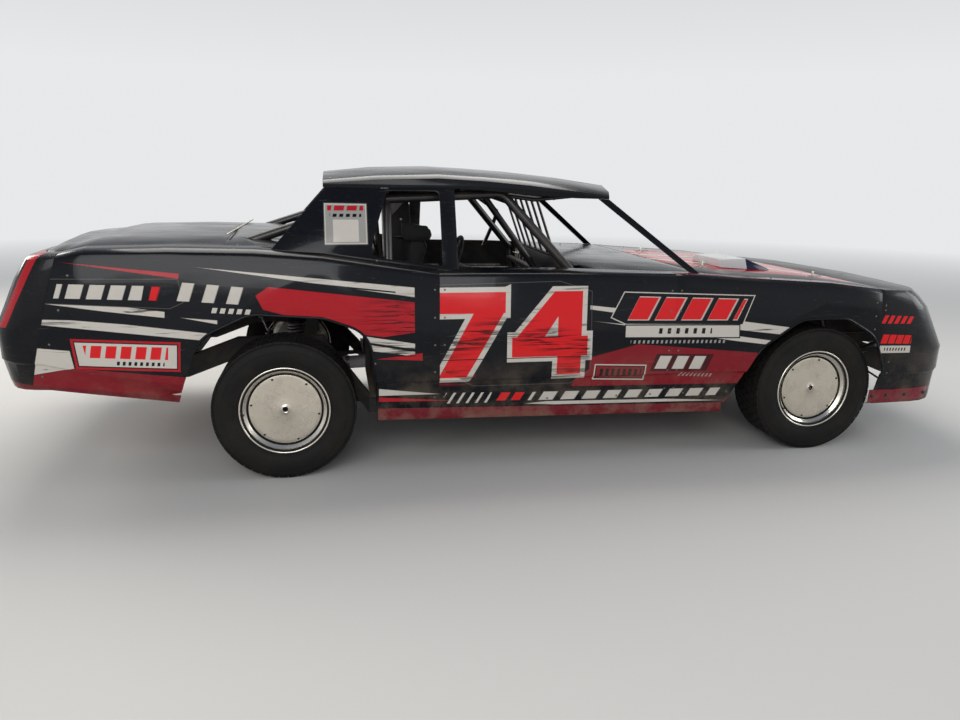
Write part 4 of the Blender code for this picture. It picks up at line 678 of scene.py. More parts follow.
def dial_face(name):
    """White gauge face; ticks run round each of the four dials, from the pieces' own upright coordinates."""
    f = Finish(name, (0.72, 0.72, 0.7), 0.35)
    y = f.axis("Y") - GAUGE_FIRST_Y
    cell = y / GAUGE_PITCH + 0.5
    local_y = (f.maths("FRACT", cell) - 0.5) * GAUGE_PITCH
    local_z = f.axis("Z") - GAUGE_Z
    radius = f.maths("SQRT", local_y * local_y + local_z * local_z)
    turn = f.maths("ARCTAN2", local_y, local_z)
    tick = f.maths("FRACT", turn / (math.tau / 24) + 0.5)
    ring = (radius - 0.02).steep(0.0004) * (0.0262 - radius).steep(0.0004)
    marks = (0.11 - abs(tick - 0.5)).steep(0.05) * ring * (2.45 - abs(turn)).steep(0.02)
    band = (radius - 0.0255).steep(0.0004) * (turn - 1.5).steep(0.02) * (2.45 - turn).steep(0.02)
    tone = f.mix(marks, f.mix(band, (0.62, 0.62, 0.6), NUMBER_RED), (0.01, 0.01, 0.01))
    return f.feed(base_color=tone, roughness=f.noise(40, 3).share(0.2, 0.9) * 0.2 + 0.25)


def make_finishes():
    """All materials by short name."""
    return {
        "quarter": quarter_paint(),
        "door": door_paint(),
        "fender": fender_paint(),
        "hood": hood_paint(),
        "nose": nose_paint(),
        "tail": tail_paint(),
        "sail": sail_paint(),
        "gloss": Graphics("gloss_black", BLACK).finish(0.62),
        "maroon": Graphics("rocker_maroon", MAROON).finish(0.4, dust=0.8),
        "silver": Graphics("scoop_silver", (0.56, 0.56, 0.56)).finish(0.3),
        "navy": Graphics("scoop_front", (0.012, 0.018, 0.045)).finish(0.3),
        "red": Graphics("panel_red", BAND_RED).finish(0.5),
        "back": inner_sheet("inner_sheet"),
        "cage": coated("cage_black", (0.012, 0.012, 0.014), 0.34, 0.35, 0.3),
        "satin": coated("satin_black", (0.014, 0.014, 0.015), 0.45, 0.1, 0.22),
        "frame": coated("frame_black", (0.02, 0.02, 0.021), 0.55, 0.0, 0.55),
        "steel": worn_metal("bare_steel", (0.36, 0.35, 0.335), 0.38, 0.95, (1, 1, 1), 0.35),
        "rivet": worn_metal("rivet_steel", (0.15, 0.145, 0.14), 0.42, 0.9, (1, 1, 1), 0.35),
        "lip": Graphics("lip_red", (0.19, 0.014, 0.026)).finish(0.42),
        "zinc": worn_metal("zinc_plate", (0.56, 0.54, 0.48), 0.3, 1.0, (1, 1, 1), 0.15),
        "aluminium": worn_metal("bare_aluminium", (0.66, 0.645, 0.61), 0.28, 1.0, (1, 1, 1), 0.22),
        # The wheel cover's colour is partly its metal's own and partly painted reflection: warmed for sandy
        # surroundings and dimmed for a dark reflected band.
        "cover": spun_aluminium("wheel_cover", (0.66, 0.605, 0.515), 0.13, 0.42),
        "rim": spun_aluminium("polished_rim", (0.76, 0.715, 0.64), 0.1, 0.22),
        "cast": worn_metal("cast_grey", (0.17, 0.17, 0.175), 0.55, 0.5, (1, 1, 1), 0.5),
        "rubber": rubber("tyre_black"),
        "vinyl": coated("seat_vinyl", (0.018, 0.018, 0.02), 0.5, 0.0, 0.25, 260),
        "cloth": woven("seat_cloth", (0.016, 0.016, 0.018), (0.06, 0.058, 0.056)),
        "belt": woven("red_webbing", (0.3, 0.012, 0.016), (0.42, 0.05, 0.05), 2600.0),
        "foam": padded_foam("bar_padding"),
        "dial": dial_face("gauge_face"),
        "hose": coated("black_hose", (0.012, 0.012, 0.013), 0.6, 0.0, 0.3, 500),
        "orange": coated("block_paint", (0.34, 0.05, 0.012), 0.45, 0.1, 0.55),
        "heat": worn_metal("heat_tinted_pipe", (0.33, 0.25, 0.19), 0.42, 0.9, (1, 1, 1), 0.45),
    }


# Modelling by hand
def only(piece):
    """Selects one piece alone and makes it active."""
    bpy.ops.object.select_all(action="DESELECT")
    piece.select_set(True)
    bpy.context.view_layer.objects.active = piece


def start(kind, name, **settings):
    """Adds a primitive at its size and place, alone in the selection."""
    bpy.ops.object.select_all(action="DESELECT")
    getattr(bpy.ops.mesh, f"primitive_{kind}_add")(**settings)
    made = bpy.context.object
    made.name = name
    return made


def edit():
    """Opens the active piece with all of it selected."""
    bpy.ops.object.mode_set(mode="EDIT")
    bpy.ops.mesh.select_all(action="SELECT")


def done():
    """Goes back to object mode."""
    bpy.ops.object.mode_set(mode="OBJECT")


def finished(piece, material, smooth=35):
    """Puts the place into the mesh, merges it, shades it and gives it its material."""
    placed(piece)
    edit()
    bpy.ops.mesh.remove_doubles(threshold=MERGE)
    bpy.ops.mesh.normals_make_consistent(inside=False)
    done()
    bpy.ops.object.shade_smooth_by_angle(angle=math.radians(smooth))
    piece.data.materials.clear()
    piece.data.materials.append(FINISH[material])
    return piece


def placed(piece):
    """Puts a piece's place, turn and size into its mesh."""
    only(piece)
    bpy.ops.object.transform_apply(location=True, rotation=True, scale=True)


def modified(piece, kind, **settings):
    """Gives a piece one modifier and applies it."""
    only(piece)
    change = piece.modifiers.new(kind.lower(), kind)
    for key, value in settings.items():
        setattr(change, key, value)
    bpy.ops.object.modifier_apply(modifier=change.name)


def settle(piece, body, slot=None, stands_for=()):
    """Lets a finished piece ride on its body and hides the nodes it stands for; the slot is not used."""
    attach(piece, body)
    if stands_for:
        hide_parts(*stands_for)
    return piece


def joined(pieces, name):
    """Joins pieces into the first."""
    bpy.ops.object.select_all(action="DESELECT")
    for piece in pieces:
        piece.select_set(True)
    bpy.context.view_layer.objects.active = pieces[0]
    bpy.ops.object.join()
    pieces[0].name = name
    pieces[0].data.name = name
    return pieces[0]


def group(name, pieces, slot, body="chassis", stands_for=()):
    """Joins pieces and lets them ride on their body."""
    return settle(joined(pieces, name), body, slot, stands_for)


def copied(piece, name):
    """A copy with its own mesh."""
    only(piece)
    bpy.ops.object.duplicate()
    made = bpy.context.object
    made.name = name
    made.data.name = name
    return made


def turned_about(piece, angle, axis, centre):
    """Turns a finished piece about a line and keeps its object at the origin."""
    only(piece)
    edit()
    bpy.ops.transform.rotate(value=angle, orient_axis=axis, center_override=centre)
    done()
    return piece


def moved(piece, step):
    """Moves a finished piece and keeps its object at the origin."""
    only(piece)
    edit()
    bpy.ops.transform.translate(value=step)
    done()
    return piece


def line(name, points):
    """A polyline: a plane merged to its middle and extruded from point to point."""
    made = start("plane", name, size=0.01, location=points[0])
    edit()
    bpy.ops.mesh.merge(type="CENTER")
    for a, b in zip(points, points[1:]):
        bpy.ops.mesh.extrude_region_move(TRANSFORM_OT_translate={"value": b - a})
    done()
    return made


def bent(points, radius, steps=5):
    """Points of a path whose inner corners are bent to a radius."""
    path = [points[0]]
    for before, here, after in zip(points, points[1:], points[2:]):
        back, on = (before - here).normalized(), (after - here).normalized()
        half = back.angle(on) / 2
        reach = min(radius / math.tan(half), 0.45 * (before - here).length, 0.45 * (after - here).length)
        start_at, end_at = here + back * reach, here + on * reach
        for k in range(steps + 1):
            t = k / steps
            path.append(start_at.lerp(here, t).lerp(here.lerp(end_at, t), t))
    path.append(points[-1])
    return path


def tube(name, points, radius, material="cage", bend=0.05, sides=16):
    """A round bar along a path: a polyline made a curve, given its thickness and made a mesh again."""
    path = bent(spots(points), bend) if bend and len(points) > 2 else spots(points)
    line(name, path)
    bpy.ops.object.convert(target="CURVE")
    curve = bpy.context.object.data
    curve.bevel_depth = radius
    curve.bevel_resolution = sides // 2 - 2
    curve.use_fill_caps = True
    bpy.ops.object.convert(target="MESH")
    return finished(bpy.context.object, material, 40)


def lathed(name, profile, centre, axle, material, sides=112, smooth=30):
    """Turns a closed profile of (distance along the axle, radius) about the axle."""
    hub, along = *spots([centre]), Vector(axle).normalized()
    outward = Vector((0, 0, -1)) if abs(along.z) < 0.5 else Vector((1, 0, 0))
    outward = (outward - along * outward.dot(along)).normalized()
    line(name, [hub + along * w + outward * r for w, r in [*profile, profile[0]]])
    edit()
    bpy.ops.mesh.spin(steps=sides, angle=math.tau, center=hub, axis=along)
    done()
    return finished(bpy.context.object, material, smooth)


def plate(name, points, thick, material, ease=0.0008, smooth=35):
    """A flat sheet cut to an outline: the outline is filled, given its thickness and eased."""
    line(name, spots(points))
    edit()
    bpy.ops.mesh.edge_face_add()
    done()
    made = bpy.context.object
    placed(made)
    modified(made, "SOLIDIFY", thickness=thick, offset=0)
    if ease:
        modified(made, "BEVEL", width=ease, segments=2, limit_method="ANGLE")
    return finished(made, material, smooth)


def helix(name, low, high, radius, wire, turns, material="steel", steps=18):
    """A coil spring's wire from one seat to the other."""
    low, high = spots((low, high))
    axis = (high - low).normalized()
    side = axis.orthogonal().normalized()
    other = axis.cross(side)
    points = []
    for k in range(turns * steps + 1):
        a = math.tau * k / steps
        points.append(low.lerp(high, k / (turns * steps)) + (side * math.cos(a) + other * math.sin(a)) * radius)
    return tube(name, points, wire, material, 0, 12)


def cushion(name, low, high, lean, swell, channels=(), material="cloth"):
    """A sewn pad: a rounded block remeshed evenly, blown up as cloth, held to a limit, then drawn in at its seams."""
    low, high = spots((low, high))
    thin = min(high - low)
    shape = block("pad_start", low, high, material, thin * 0.45, 4)
    turned_about(shape, math.radians(lean), "Y", (low + high) / 2)
    pad = copied(shape, name)
    bpy.data.objects.remove(shape)
    modified(pad, "REMESH", mode="VOXEL", voxel_size=VOXEL)
    before = [v.co.copy() for v in pad.data.vertices]
    cloth = pad.modifiers.new("swell", "CLOTH")
    cloth.settings.quality = 6
    cloth.settings.mass = 0.25
    cloth.settings.tension_stiffness = 18
    cloth.settings.compression_stiffness = 18
    cloth.settings.use_pressure = True
    cloth.settings.uniform_pressure_force = 4
    cloth.settings.effector_weights.gravity = 0
    for step in range(1, CLOTH_STEPS + 1):
        bpy.context.scene.frame_set(step)
    bpy.ops.object.modifier_apply(modifier=cloth.name)
    bpy.context.scene.frame_set(1)
    for vertex, start_at in zip(pad.data.vertices, before):
        shift = vertex.co - start_at
        if shift.length > swell:
            vertex.co = start_at + shift.normalized() * swell
    for axis, value, depth in channels:
        for vertex in pad.data.vertices:
            near = (vertex.co[axis] - value) / VOXEL
            if abs(near) < 3:
                vertex.co -= vertex.normal * depth * math.exp(-near * near)
    modified(pad, "SUBSURF", levels=1, render_levels=1)
    bpy.ops.object.shade_smooth()
    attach(pad, "chassis")
    return pad


def block(name, low, high, material, ease=0.004, segments=2, smooth=35):
    """A box between two corners with eased edges."""
    low, high = spots((low, high))
    made = start("cube", name, size=1, location=(low + high) / 2, scale=high - low)
    bpy.ops.object.transform_apply(location=False, rotation=False, scale=True)
    edit()
    bpy.ops.mesh.bevel(offset=ease, segments=segments, affect="EDGES")
    done()
    return finished(made, material, smooth)


def barrel(name, low, high, radius, material, ease=0.002, sides=32, smooth=35):
    """A round bar between two points with eased ends."""
    low, high = spots((low, high))
    turn = (high - low).to_track_quat("Z", "Y").to_euler()
    settings = {"vertices": sides, "radius": radius, "depth": (high - low).length}
    made = start("cylinder", name, **settings, location=(low + high) / 2, rotation=turn)
    edit()
    bpy.ops.mesh.select_all(action="DESELECT")
    bpy.ops.mesh.select_mode(type="FACE")
    done()
    for face in made.data.polygons:
        face.select = len(face.vertices) > 4
    bpy.ops.object.mode_set(mode="EDIT")
    bpy.ops.mesh.region_to_loop()
    bpy.ops.mesh.bevel(offset=ease, segments=2, affect="EDGES")
    bpy.ops.mesh.select_mode(type="VERT")
    done()
    return finished(made, material, smooth)


def strap(name, points, across, width, thick, material="belt"):
    """Flat webbing: a line extruded sideways into a band and given its thickness."""
    path = bent(spots(points), 0.03, 4)
    side = Vector(across).normalized() * width
    made = line(name, [p - side / 2 for p in path])
    edit()
    bpy.ops.mesh.extrude_region_move(TRANSFORM_OT_translate={"value": side})
    done()
    placed(made)
    modified(made, "SOLIDIFY", thickness=thick, offset=0)
    return finished(made, material, 50)


def refined(node, material, slot, bevel=0.0012, smooth=32):
    """A merged copy of a CAD node with eased edges, which stands for the node."""
    only(frame["nodes"][node])
    bpy.ops.object.duplicate()
    made = bpy.context.object
    made.parent = None
    made.matrix_world = Matrix.Identity(4)
    for key in list(made.keys()):
        del made[key]
    made.name = node + "_finished"
    made.data.name = made.name
    edit()
    bpy.ops.mesh.remove_doubles(threshold=MERGE)
    bpy.ops.mesh.dissolve_limited(angle_limit=math.radians(0.3))
    done()
    if bevel:
        modified(made, "BEVEL", width=bevel, segments=2, limit_method="ANGLE", angle_limit=math.radians(smooth))
    bpy.ops.object.shade_smooth_by_angle(angle=math.radians(smooth))
    made.data.materials.clear()
    made.data.materials.append(FINISH[material])
    return settle(made, BODY_OF[node], slot, (node,))


def bare_inside(piece, share=0.8, height=0.45):
    """Gives the faces that look at the car's middle the finish of bare sheet."""
    piece.data.materials.append(FINISH["back"])
    for face in piece.data.polygons:
        x, y, z = face.center
        if face.normal.dot(Vector((x * (1 - share), y, z - height))) < 0:
            face.material_index = 1


def on_surface(piece, spot, towards):
    """Where a ray from a spot meets a piece, and the surface's direction there."""
    hit, place, normal, _ = piece.ray_cast(Vector(spot), Vector(towards).normalized(), distance=0.5)
    return (place, normal) if hit else None


def fixed_on(name, model, targets, body, slot=None):
    """Copies of one small fitting, each seated on a surface point and turned to its direction, as one piece."""
    made = []
    for place, normal in targets:
        piece = copied(model, name)
        piece.matrix_world = Matrix.Translation(place) @ normal.to_track_quat("Z", "Y").to_matrix().to_4x4()
        made.append(piece)
    whole = joined(made, name)
    placed(whole)
    return settle(whole, body, slot)


studio()
FINISH = make_finishes()
BODY_OF = {node: body for body, nodes in frame["record"]["behaviour"]["bodies"].items() for node in nodes}

# Columns: node, finish, slot
DRESS = (
    ("quarter_panel_right", "quarter", "body_black"),
    ("quarter_panel_left", "quarter", "body_black"),
    ("door_skin_right", "door", "body_black"),
    ("door_skin_left", "door", "body_black"),
    ("fender_right", "fender", "body_black"),
    ("fender_left", "fender", "body_black"),
    ("nose_cover", "nose", "nose_black"),
    ("tail_cover", "tail", "body_black"),
    ("hood", "hood", "body_black"),
    ("hood_scoop", "silver", "scoop_silver"),
    ("cowl_panel", "gloss", "body_black"),
    ("rear_deck_panel", "gloss", "body_black"),
    ("deck_lid", "gloss", "body_black"),
    ("roof_panel", "gloss", "body_black"),
    ("sail_panel_right", "sail", "body_black"),
    ("sail_panel_left", "sail", "body_black"),
    ("a_post_right", "gloss", "body_black"),
    ("a_post_left", "gloss", "body_black"),
    ("rocker_strip_right", "maroon", "panel_red"),
    ("rocker_strip_left", "maroon", "panel_red"),
    ("dash_panel", "satin", "cage_black"),
    ("front_firewall", "aluminium", "bare_aluminium"),
    ("rear_firewall", "frame", "frame_black"),
    ("floor_pan", "frame", "frame_black"),
    ("seat", "vinyl", "seat_vinyl"),
    ("engine_block", "orange", "cast_grey"),
)
SHEETS = ("quarter", "door", "fender", "nose", "tail", "hood", "gloss", "sail")
PANELS = {}
for node, finish_name, slot_name in DRESS:
    PANELS[node] = refined(node, finish_name, slot_name)
    if finish_name in SHEETS and "post" not in node:
        bare_inside(PANELS[node])
for face in PANELS["hood_scoop"].data.polygons:
    if face.center.x > 2.535 + REAR_AXLE_X and face.normal.z > 0.05:
        face.material_index = 1
PANELS["hood_scoop"].data.materials.append(FINISH["navy"])

PLAIN = {
    "cage": ("main_hoop", "halo", "door_bars_", "windscreen_bars", "front_hoop", "bumper_bar", "steering_wheel"),
    "frame": ("frame", "front_clip", "lower_arm", "upper_arm", "rear_spring"),
    "aluminium": ("radiator", "rim_"),
    "cast": ("steering_column", "drive_shaft", "rear_axle", "knuckle", "steering_link"),
    "rubber": ("tyre_",),
    "red": ("fuel_cell",),
}
for finish_name, stems in PLAIN.items():
    for node, thing in frame["nodes"].items():
        if any(stem in node for stem in stems) and not thing.hide_render:
            thing.data.materials.clear()
            thing.data.materials.append(FINISH[finish_name])


# Wheels
def arc_points(centre, radius, first, last, steps):
    """Points on an arc in a wheel's profile, angles in degrees from the axle's direction."""
    angles = (math.radians(first + (last - first) * k / steps) for k in range(steps + 1))
    return [(centre[0] + radius * math.cos(a), centre[1] + radius * math.sin(a)) for a in angles]


SIDEWALL = (
    (0.106, 0.1915), (0.1092, 0.198), (0.1094, 0.2115), (0.1128, 0.215), (0.116, 0.22), (0.1172, 0.2204),
    (0.1186, 0.2232), (0.1184, 0.225), (0.1215, 0.232), (0.124, 0.24), (0.1262, 0.25), (0.1275, 0.261),
    (0.1278, 0.272), (0.1272, 0.283), (0.1284, 0.2838), (0.1281, 0.2872), (0.1268, 0.288), (0.125, 0.298),
    (0.1225, 0.308), (0.1185, 0.317), (0.113, 0.3225), (0.104, 0.3258), (0.04, 0.3272),
)
TREAD_FLOOR = 0.3268
# Columns: distance of a row of blocks from the wheel's middle, width, block length, turn of the row in blocks
TREAD_ROWS = (
    (-0.0985, 0.033, 0.0405, 0.0), (-0.06, 0.036, 0.0385, 0.5), (-0.02, 0.036, 0.0385, 0.0),
    (0.02, 0.036, 0.0385, 0.5), (0.06, 0.036, 0.0385, 0.0), (0.0985, 0.033, 0.0405, 0.5),
)
BLOCKS_ROUND = 48
SHOULDER = 0.09


def tread_row(across, width, length, turn, hub):
    """One tread block, eased at its top and spun round the tyre."""
    low = -HUB_Z + 0.002
    high = -TREAD_FLOOR + 0.004
    middle = hub + Vector((0, across, (low + high) / 2))
    made = start("cube", "tread", size=1, location=middle, scale=(length, width, high - low))
    bpy.ops.object.transform_apply(location=False, rotation=False, scale=True)
    edit()
    bpy.ops.mesh.select_all(action="DESELECT")
    done()
    for face in made.data.polygons:
        face.select = face.normal.z < -0.5
    bpy.ops.object.mode_set(mode="EDIT")
    bpy.ops.mesh.select_mode(type="FACE")
    bpy.ops.transform.resize(value=(0.97, 0.96, 1))
    bpy.ops.mesh.inset(thickness=0.0018, depth=0.0)
    bpy.ops.transform.translate(value=(0, 0, -0.0008))
    if abs(across) > SHOULDER:
        bpy.ops.transform.translate(value=(0, -0.001 if across > 0 else 0.001, 0))
    bpy.ops.mesh.select_mode(type="VERT")
    bpy.ops.mesh.select_all(action="SELECT")
    pitch = math.tau / BLOCKS_ROUND
    if turn:
        bpy.ops.transform.rotate(value=turn * pitch, orient_axis="Y", center_override=hub)
    bpy.ops.mesh.spin(steps=BLOCKS_ROUND, dupli=True, angle=math.tau, center=hub, axis=(0, 1, 0))
    done()
    return finished(made, "rubber", 30)


def make_tyre(hub):
    """Carcass with bulged sidewalls and raised rings, and six rows of tread blocks."""
    profile = [*SIDEWALL, *((-w, r) for w, r in reversed(SIDEWALL))]
    carcass = lathed("carcass", profile, hub, (0, 1, 0), "rubber", 120, 40)
    return joined([carcass, *(tread_row(*row, hub) for row in TREAD_ROWS)], "tyre")


RIM_PROFILE = (
    (0.07, 0.166), (0.07, 0.1762), (0.0862, 0.1778), (0.088, 0.18), (0.1035, 0.1952), (0.105, 0.198),
    (0.1058, 0.2012),
    *arc_points((0.1098, 0.2063), 0.0047, -110, 150, 9),
    (0.1056, 0.199), (0.1054, 0.1905), (0.085, 0.1895), (0.06, 0.185), (0.0, 0.184), (-0.085, 0.1895),
    (-0.1054, 0.1905), (-0.1056, 0.199),
    *arc_points((-0.1098, 0.2063), 0.0047, 30, 290, 9),
    (-0.1058, 0.196), (-0.1, 0.186), (-0.06, 0.18), (0.008, 0.178), (0.01, 0.175), (0.01, 0.031),
    (0.018, 0.031), (0.018, 0.1735), (0.064, 0.1745), (0.064, 0.166),
)
COVER_PROFILE = (
    (0.0875, 0.0125), (0.0885, 0.015), (0.0865, 0.018), (0.0838, 0.03), (0.0828, 0.07), (0.0832, 0.12),
    (0.0842, 0.15), (0.0846, 0.164), (0.0838, 0.1668), (0.08, 0.1674), (0.072, 0.1674), (0.072, 0.166),
    (0.0815, 0.165), (0.0822, 0.15), (0.081, 0.07), (0.0815, 0.03), (0.0845, 0.018), (0.085, 0.0125),
)
COVER_BOLTS = 6
COVER_BOLT_CIRCLE = 0.1565
NUTS = 5
NUT_CIRCLE = 0.0635


def ring_of(count, radius, axis="Y", start=0.0):
    """Steps from a middle to evenly spaced places on a circle about an axis."""
    turns = (math.tau * k / count + start for k in range(count))
    around = {"X": (1, 2), "Y": (0, 2), "Z": (1, 0)}[axis]
    for turn in turns:
        step = Vector()
        step[around[0]], step[around[1]] = radius * math.sin(turn), radius * math.cos(turn)
        yield step


def make_rim(hub):
    """Rim with rolled bead and stepped bands, dished mud cover with its slotted fasteners, and a valve."""
    shell = lathed("shell", RIM_PROFILE, hub, (0, 1, 0), "rim", 120, 30)
    cover = lathed("cover", COVER_PROFILE, hub, (0, 1, 0), "cover", 112, 35)
    # A black ring of painted shade in the groove between the cover and the rim's band: it stands in for the groove's
    # shadow.
    painted_shade_ring = lathed(
        "painted_shade_ring", [(0.066, 0.1676), (0.0745, 0.1676), (0.0745, 0.1759), (0.066, 0.1759)], hub, (0, 1, 0), "rubber", 96,
    )
    parts = [shell, cover, painted_shade_ring]
    add = parts.append
    out = Vector((0, 1, 0))
    for step in ring_of(COVER_BOLTS, COVER_BOLT_CIRCLE, start=0.35):
        spot = hub + step
        add(barrel("washer", spot + out * 0.0835, spot + out * 0.0854, 0.0078, "zinc", 0.0006, 20))
        add(barrel("fastener", spot + out * 0.085, spot + out * 0.089, 0.0058, "satin", 0.0012, 6))
    stem = hub + Vector((0.186, 0, -0.014))
    neck = stem + Vector((0.002, 0.106, 0))
    add(barrel("valve", stem + out * 0.086, neck + out * 0.002, 0.003, "zinc", 0.0008, 12))
    add(barrel("cap", neck, stem + Vector((0.003, 0.114, 0)), 0.0042, "satin", 0.001, 12))
    for step in ring_of(NUTS, NUT_CIRCLE):
        spot = hub + step
        add(barrel("nut", spot - out * 0.004, spot + out * 0.03, 0.0125, "steel", 0.002, 6))
    return joined(parts, "rim")


def brake_disc(hub, side):
    """Vented disc with its hat, between the web and the knuckle."""
    profile = [(-0.062, 0.07), (-0.062, 0.146), (-0.056, 0.146), (-0.054, 0.142), (-0.048, 0.142), (-0.046, 0.146)]
    profile += [(-0.04, 0.146), (-0.04, 0.072), (0.0098, 0.068), (0.0098, 0.0325), (-0.04, 0.0325)]
    return lathed("disc", profile, hub, (0, side, 0), "steel", 64, 30)


def dress_wheels():
    """One wheel is modelled at the rear right and copied, turned round for the other side."""
    model_hub = Vector((0.0, 4.0, HUB_Z))
    tyre, rim = make_tyre(model_hub), make_rim(model_hub)
    # Columns: name, station, side, turn of the cover in degrees
    wheels = (
        ("rear_right", 0.0, "right", 0.0),
        ("front_right", WHEELBASE, "right", 28.0),
        ("rear_left", 0.0, "left", 51.0),
        ("front_left", WHEELBASE, "left", 197.0),
    )
    for name, station, hand, roll in wheels:
        hub = at(station, SIDES[hand] * WHEEL_Y, HUB_Z)
        for model, kind, slot in ((tyre, "tyre", "tyre_black"), (rim, "rim", "bare_aluminium")):
            piece = copied(model, f"{kind}_{name}_finished")
            if hand == "right":
                turned_about(piece, math.pi, "Z", model_hub)
            turned_about(piece, math.radians(roll), "Y", model_hub)
            moved(piece, hub - model_hub)
            settle(piece, f"wheel_{name}", slot, (f"{kind}_{name}",))
        settle(brake_disc(hub, SIDES[hand]), f"wheel_{name}", "cast_grey").name = f"brake_disc_{name}"
    bpy.data.objects.remove(tyre)
    bpy.data.objects.remove(rim)


dress_wheels()


# Cage
CAGE_TUBES = {
    # Columns of a run: points, radius, bend, whether it is on both sides
    "main_hoop": (
        (
            (
                (0.5, -0.62, 0.3396), (0.5, -0.7, 0.96), (0.5, -0.59, 1.31), (0.5, 0.59, 1.31), (0.5, 0.7, 0.96),
                (0.5, 0.62, 0.3396),
            ),
            TUBE, 0.08, 0,
        ),
        (((0.5, 0.56, 1.31), (-0.15, 0.58, 1.095), (-0.32, 0.56, 1.02), (-0.76, 0.48, 0.5203)), TUBE, 0.02, 1),
        (((0.5, -0.7, 0.85), (0.5, 0.7, 0.85)), BRACE, 0, 0),
        (((0.5, 0.59, 1.29), (0.5, -0.64, 0.48)), BRACE, 0, 0),
    ),
    "halo": (
        (((0.5, 0.59, 1.3), (1.08, 0.59, 1.33), (1.42, 0.7, 0.95), (1.47, 0.62, 0.3396)), TUBE, 0.07, 1),
        (((1.08, -0.59, 1.33), (1.08, 0.59, 1.33)), TUBE, 0, 0),
        (((1.42, -0.7, 0.88), (1.42, 0.7, 0.88)), BRACE, 0, 0),
        (((1.08, 0.0, 1.33), (1.42, 0.0, 0.88)), BRACE, 0, 0),
    ),
    "windscreen_bars": (
        (((1.345, -0.6, 1.3105), (1.345, 0.6, 1.3105)), 0.0095, 0, 0),
        (((1.462, -0.26, 0.987), (1.462, 0.56, 0.987)), ROD, 0, 0),
        (((1.08, 0.6, 1.3225), (1.24, 0.6, 1.302), (1.5, 0.6, 1.328)), 0.0095, 0.05, 1),
        *((((1.345, -0.24 + 0.13 * i, 1.3105), (1.462, -0.24 + 0.13 * i, 0.987)), ROD, 0, 0) for i in range(7)),
    ),
    "front_hoop": (
        (((2.32, 0.385, 0.4103), (2.26, 0.62, 0.822), (2.87, 0.6, 0.822), (3.16, 0.385, 0.4103)), BRACE, 0.05, 1),
        (((2.26, -0.62, 0.822), (2.26, 0.62, 0.822)), BRACE, 0, 0),
        (((2.87, -0.6, 0.822), (2.87, 0.6, 0.822)), BRACE, 0, 0),
    ),
    "front_bumper_bar": (
        (
            ((3.1803, -0.384, 0.362), (3.5603, -0.33, 0.45), (3.5603, 0.33, 0.45), (3.1803, 0.384, 0.362)), TUBE,
            0.09, 0,
        ),
    ),
    "rear_bumper_bar": (
        (
            ((-1.0803, -0.499, 0.502), (-1.1803, -0.56, 0.6), (-1.1803, 0.56, 0.6), (-1.0803, 0.499, 0.502)), TUBE,
            0.05, 0,
        ),
    ),
}


def leg_at(z):
    """Where the door bars meet the posts at a height: station of the windscreen leg and half width."""
    share = (z - FLOOR_TOP) / 0.6204
    return 1.47 - 0.05 * share, 0.62 + 0.08 * share


def cage_tubes():
    """Round bent tubes that stand for the cage's nodes."""
    for node, runs in CAGE_TUBES.items():
        bars = []
        for points, radius, bend, both in runs:
            for side in (1, -1) if both else (1,):
                bars.append(tube("bar", [(x, side * y, z) for x, y, z in points], radius, "cage", bend))
        if node == "front_hoop":
            for x, y in HOOD_PINS:
                bars.append(barrel("pin_boss", (x, y, 0.822), (x, y, 0.872), 0.01, "cage", 0.002, 16))
                bars.append(barrel("pin", (x, y, 0.87), (x, y, pin_top(x, y)), 0.006, "zinc", 0.002, 16))
        group(node + "_finished", bars, "cage_black", BODY_OF[node], (node,))
    for hand, side in SIDES.items():
        bars, middles = [], []
        for low, high in ((0.44, 0.45), (0.62, 0.63), (0.8, 0.8)):
            x, y = leg_at(low)
            middles.append(at(0.98, side * (y + 0.04), high))
            bars.append(tube("bar", [(0.5, side * y, low), middles[-1], (x, side * y, low)], BRACE, "cage", 0.25))
        bars.append(tube("bar", middles, BRACE, "cage", 0))
        group(f"door_bars_{hand}_finished", bars, "cage_black", "chassis", (f"door_bars_{hand}",))


def hood_top(x, y):
    """Height of the hood's upper face over a place."""
    spot = on_surface(PANELS["hood"], at(x + 0.015, y, 1.15), (0, 0, -1))
    return spot[0].z


def pin_top(x, y):
    """Height of a hood pin's top."""
    return hood_top(x, y) + 0.034


def hood_fittings():
    """Scuff plates and hairpin clips at the hood's pins."""
    parts = []
    add = parts.append
    for x, y in HOOD_PINS:
        z = hood_top(x, y)
        profile = [
            (0.0004, 0.0085), (0.0024, 0.0085), (0.003, 0.012), (0.0022, 0.024), (0.0008, 0.026), (0.0003, 0.026),
        ]
        add(lathed("scuff", profile, (x, y, z), (0, 0, 1), "zinc", 28, 30))
        hair = [
            (0.055, 0.006), (0.0, 0.009), (-0.03, 0.009), (-0.042, 0.0), (-0.03, -0.009), (0.0, -0.0105),
            (0.012, -0.0085), (0.05, -0.012),
        ]
        add(tube("clip", [(x + dx, y + dy, z + 0.0062) for dx, dy in hair], 0.0016, "zinc", 0.004, 8))
        for step in ring_of(3, 0.019, "Z", 0.5):
            spot = at(x, y, z) + step
            add(barrel("rivet", spot, spot + Vector((0, 0, 0.0042)), 0.003, "steel", 0.0012, 10))
    group("hood_pin_plates", parts, "bare_aluminium", "hood_lift")


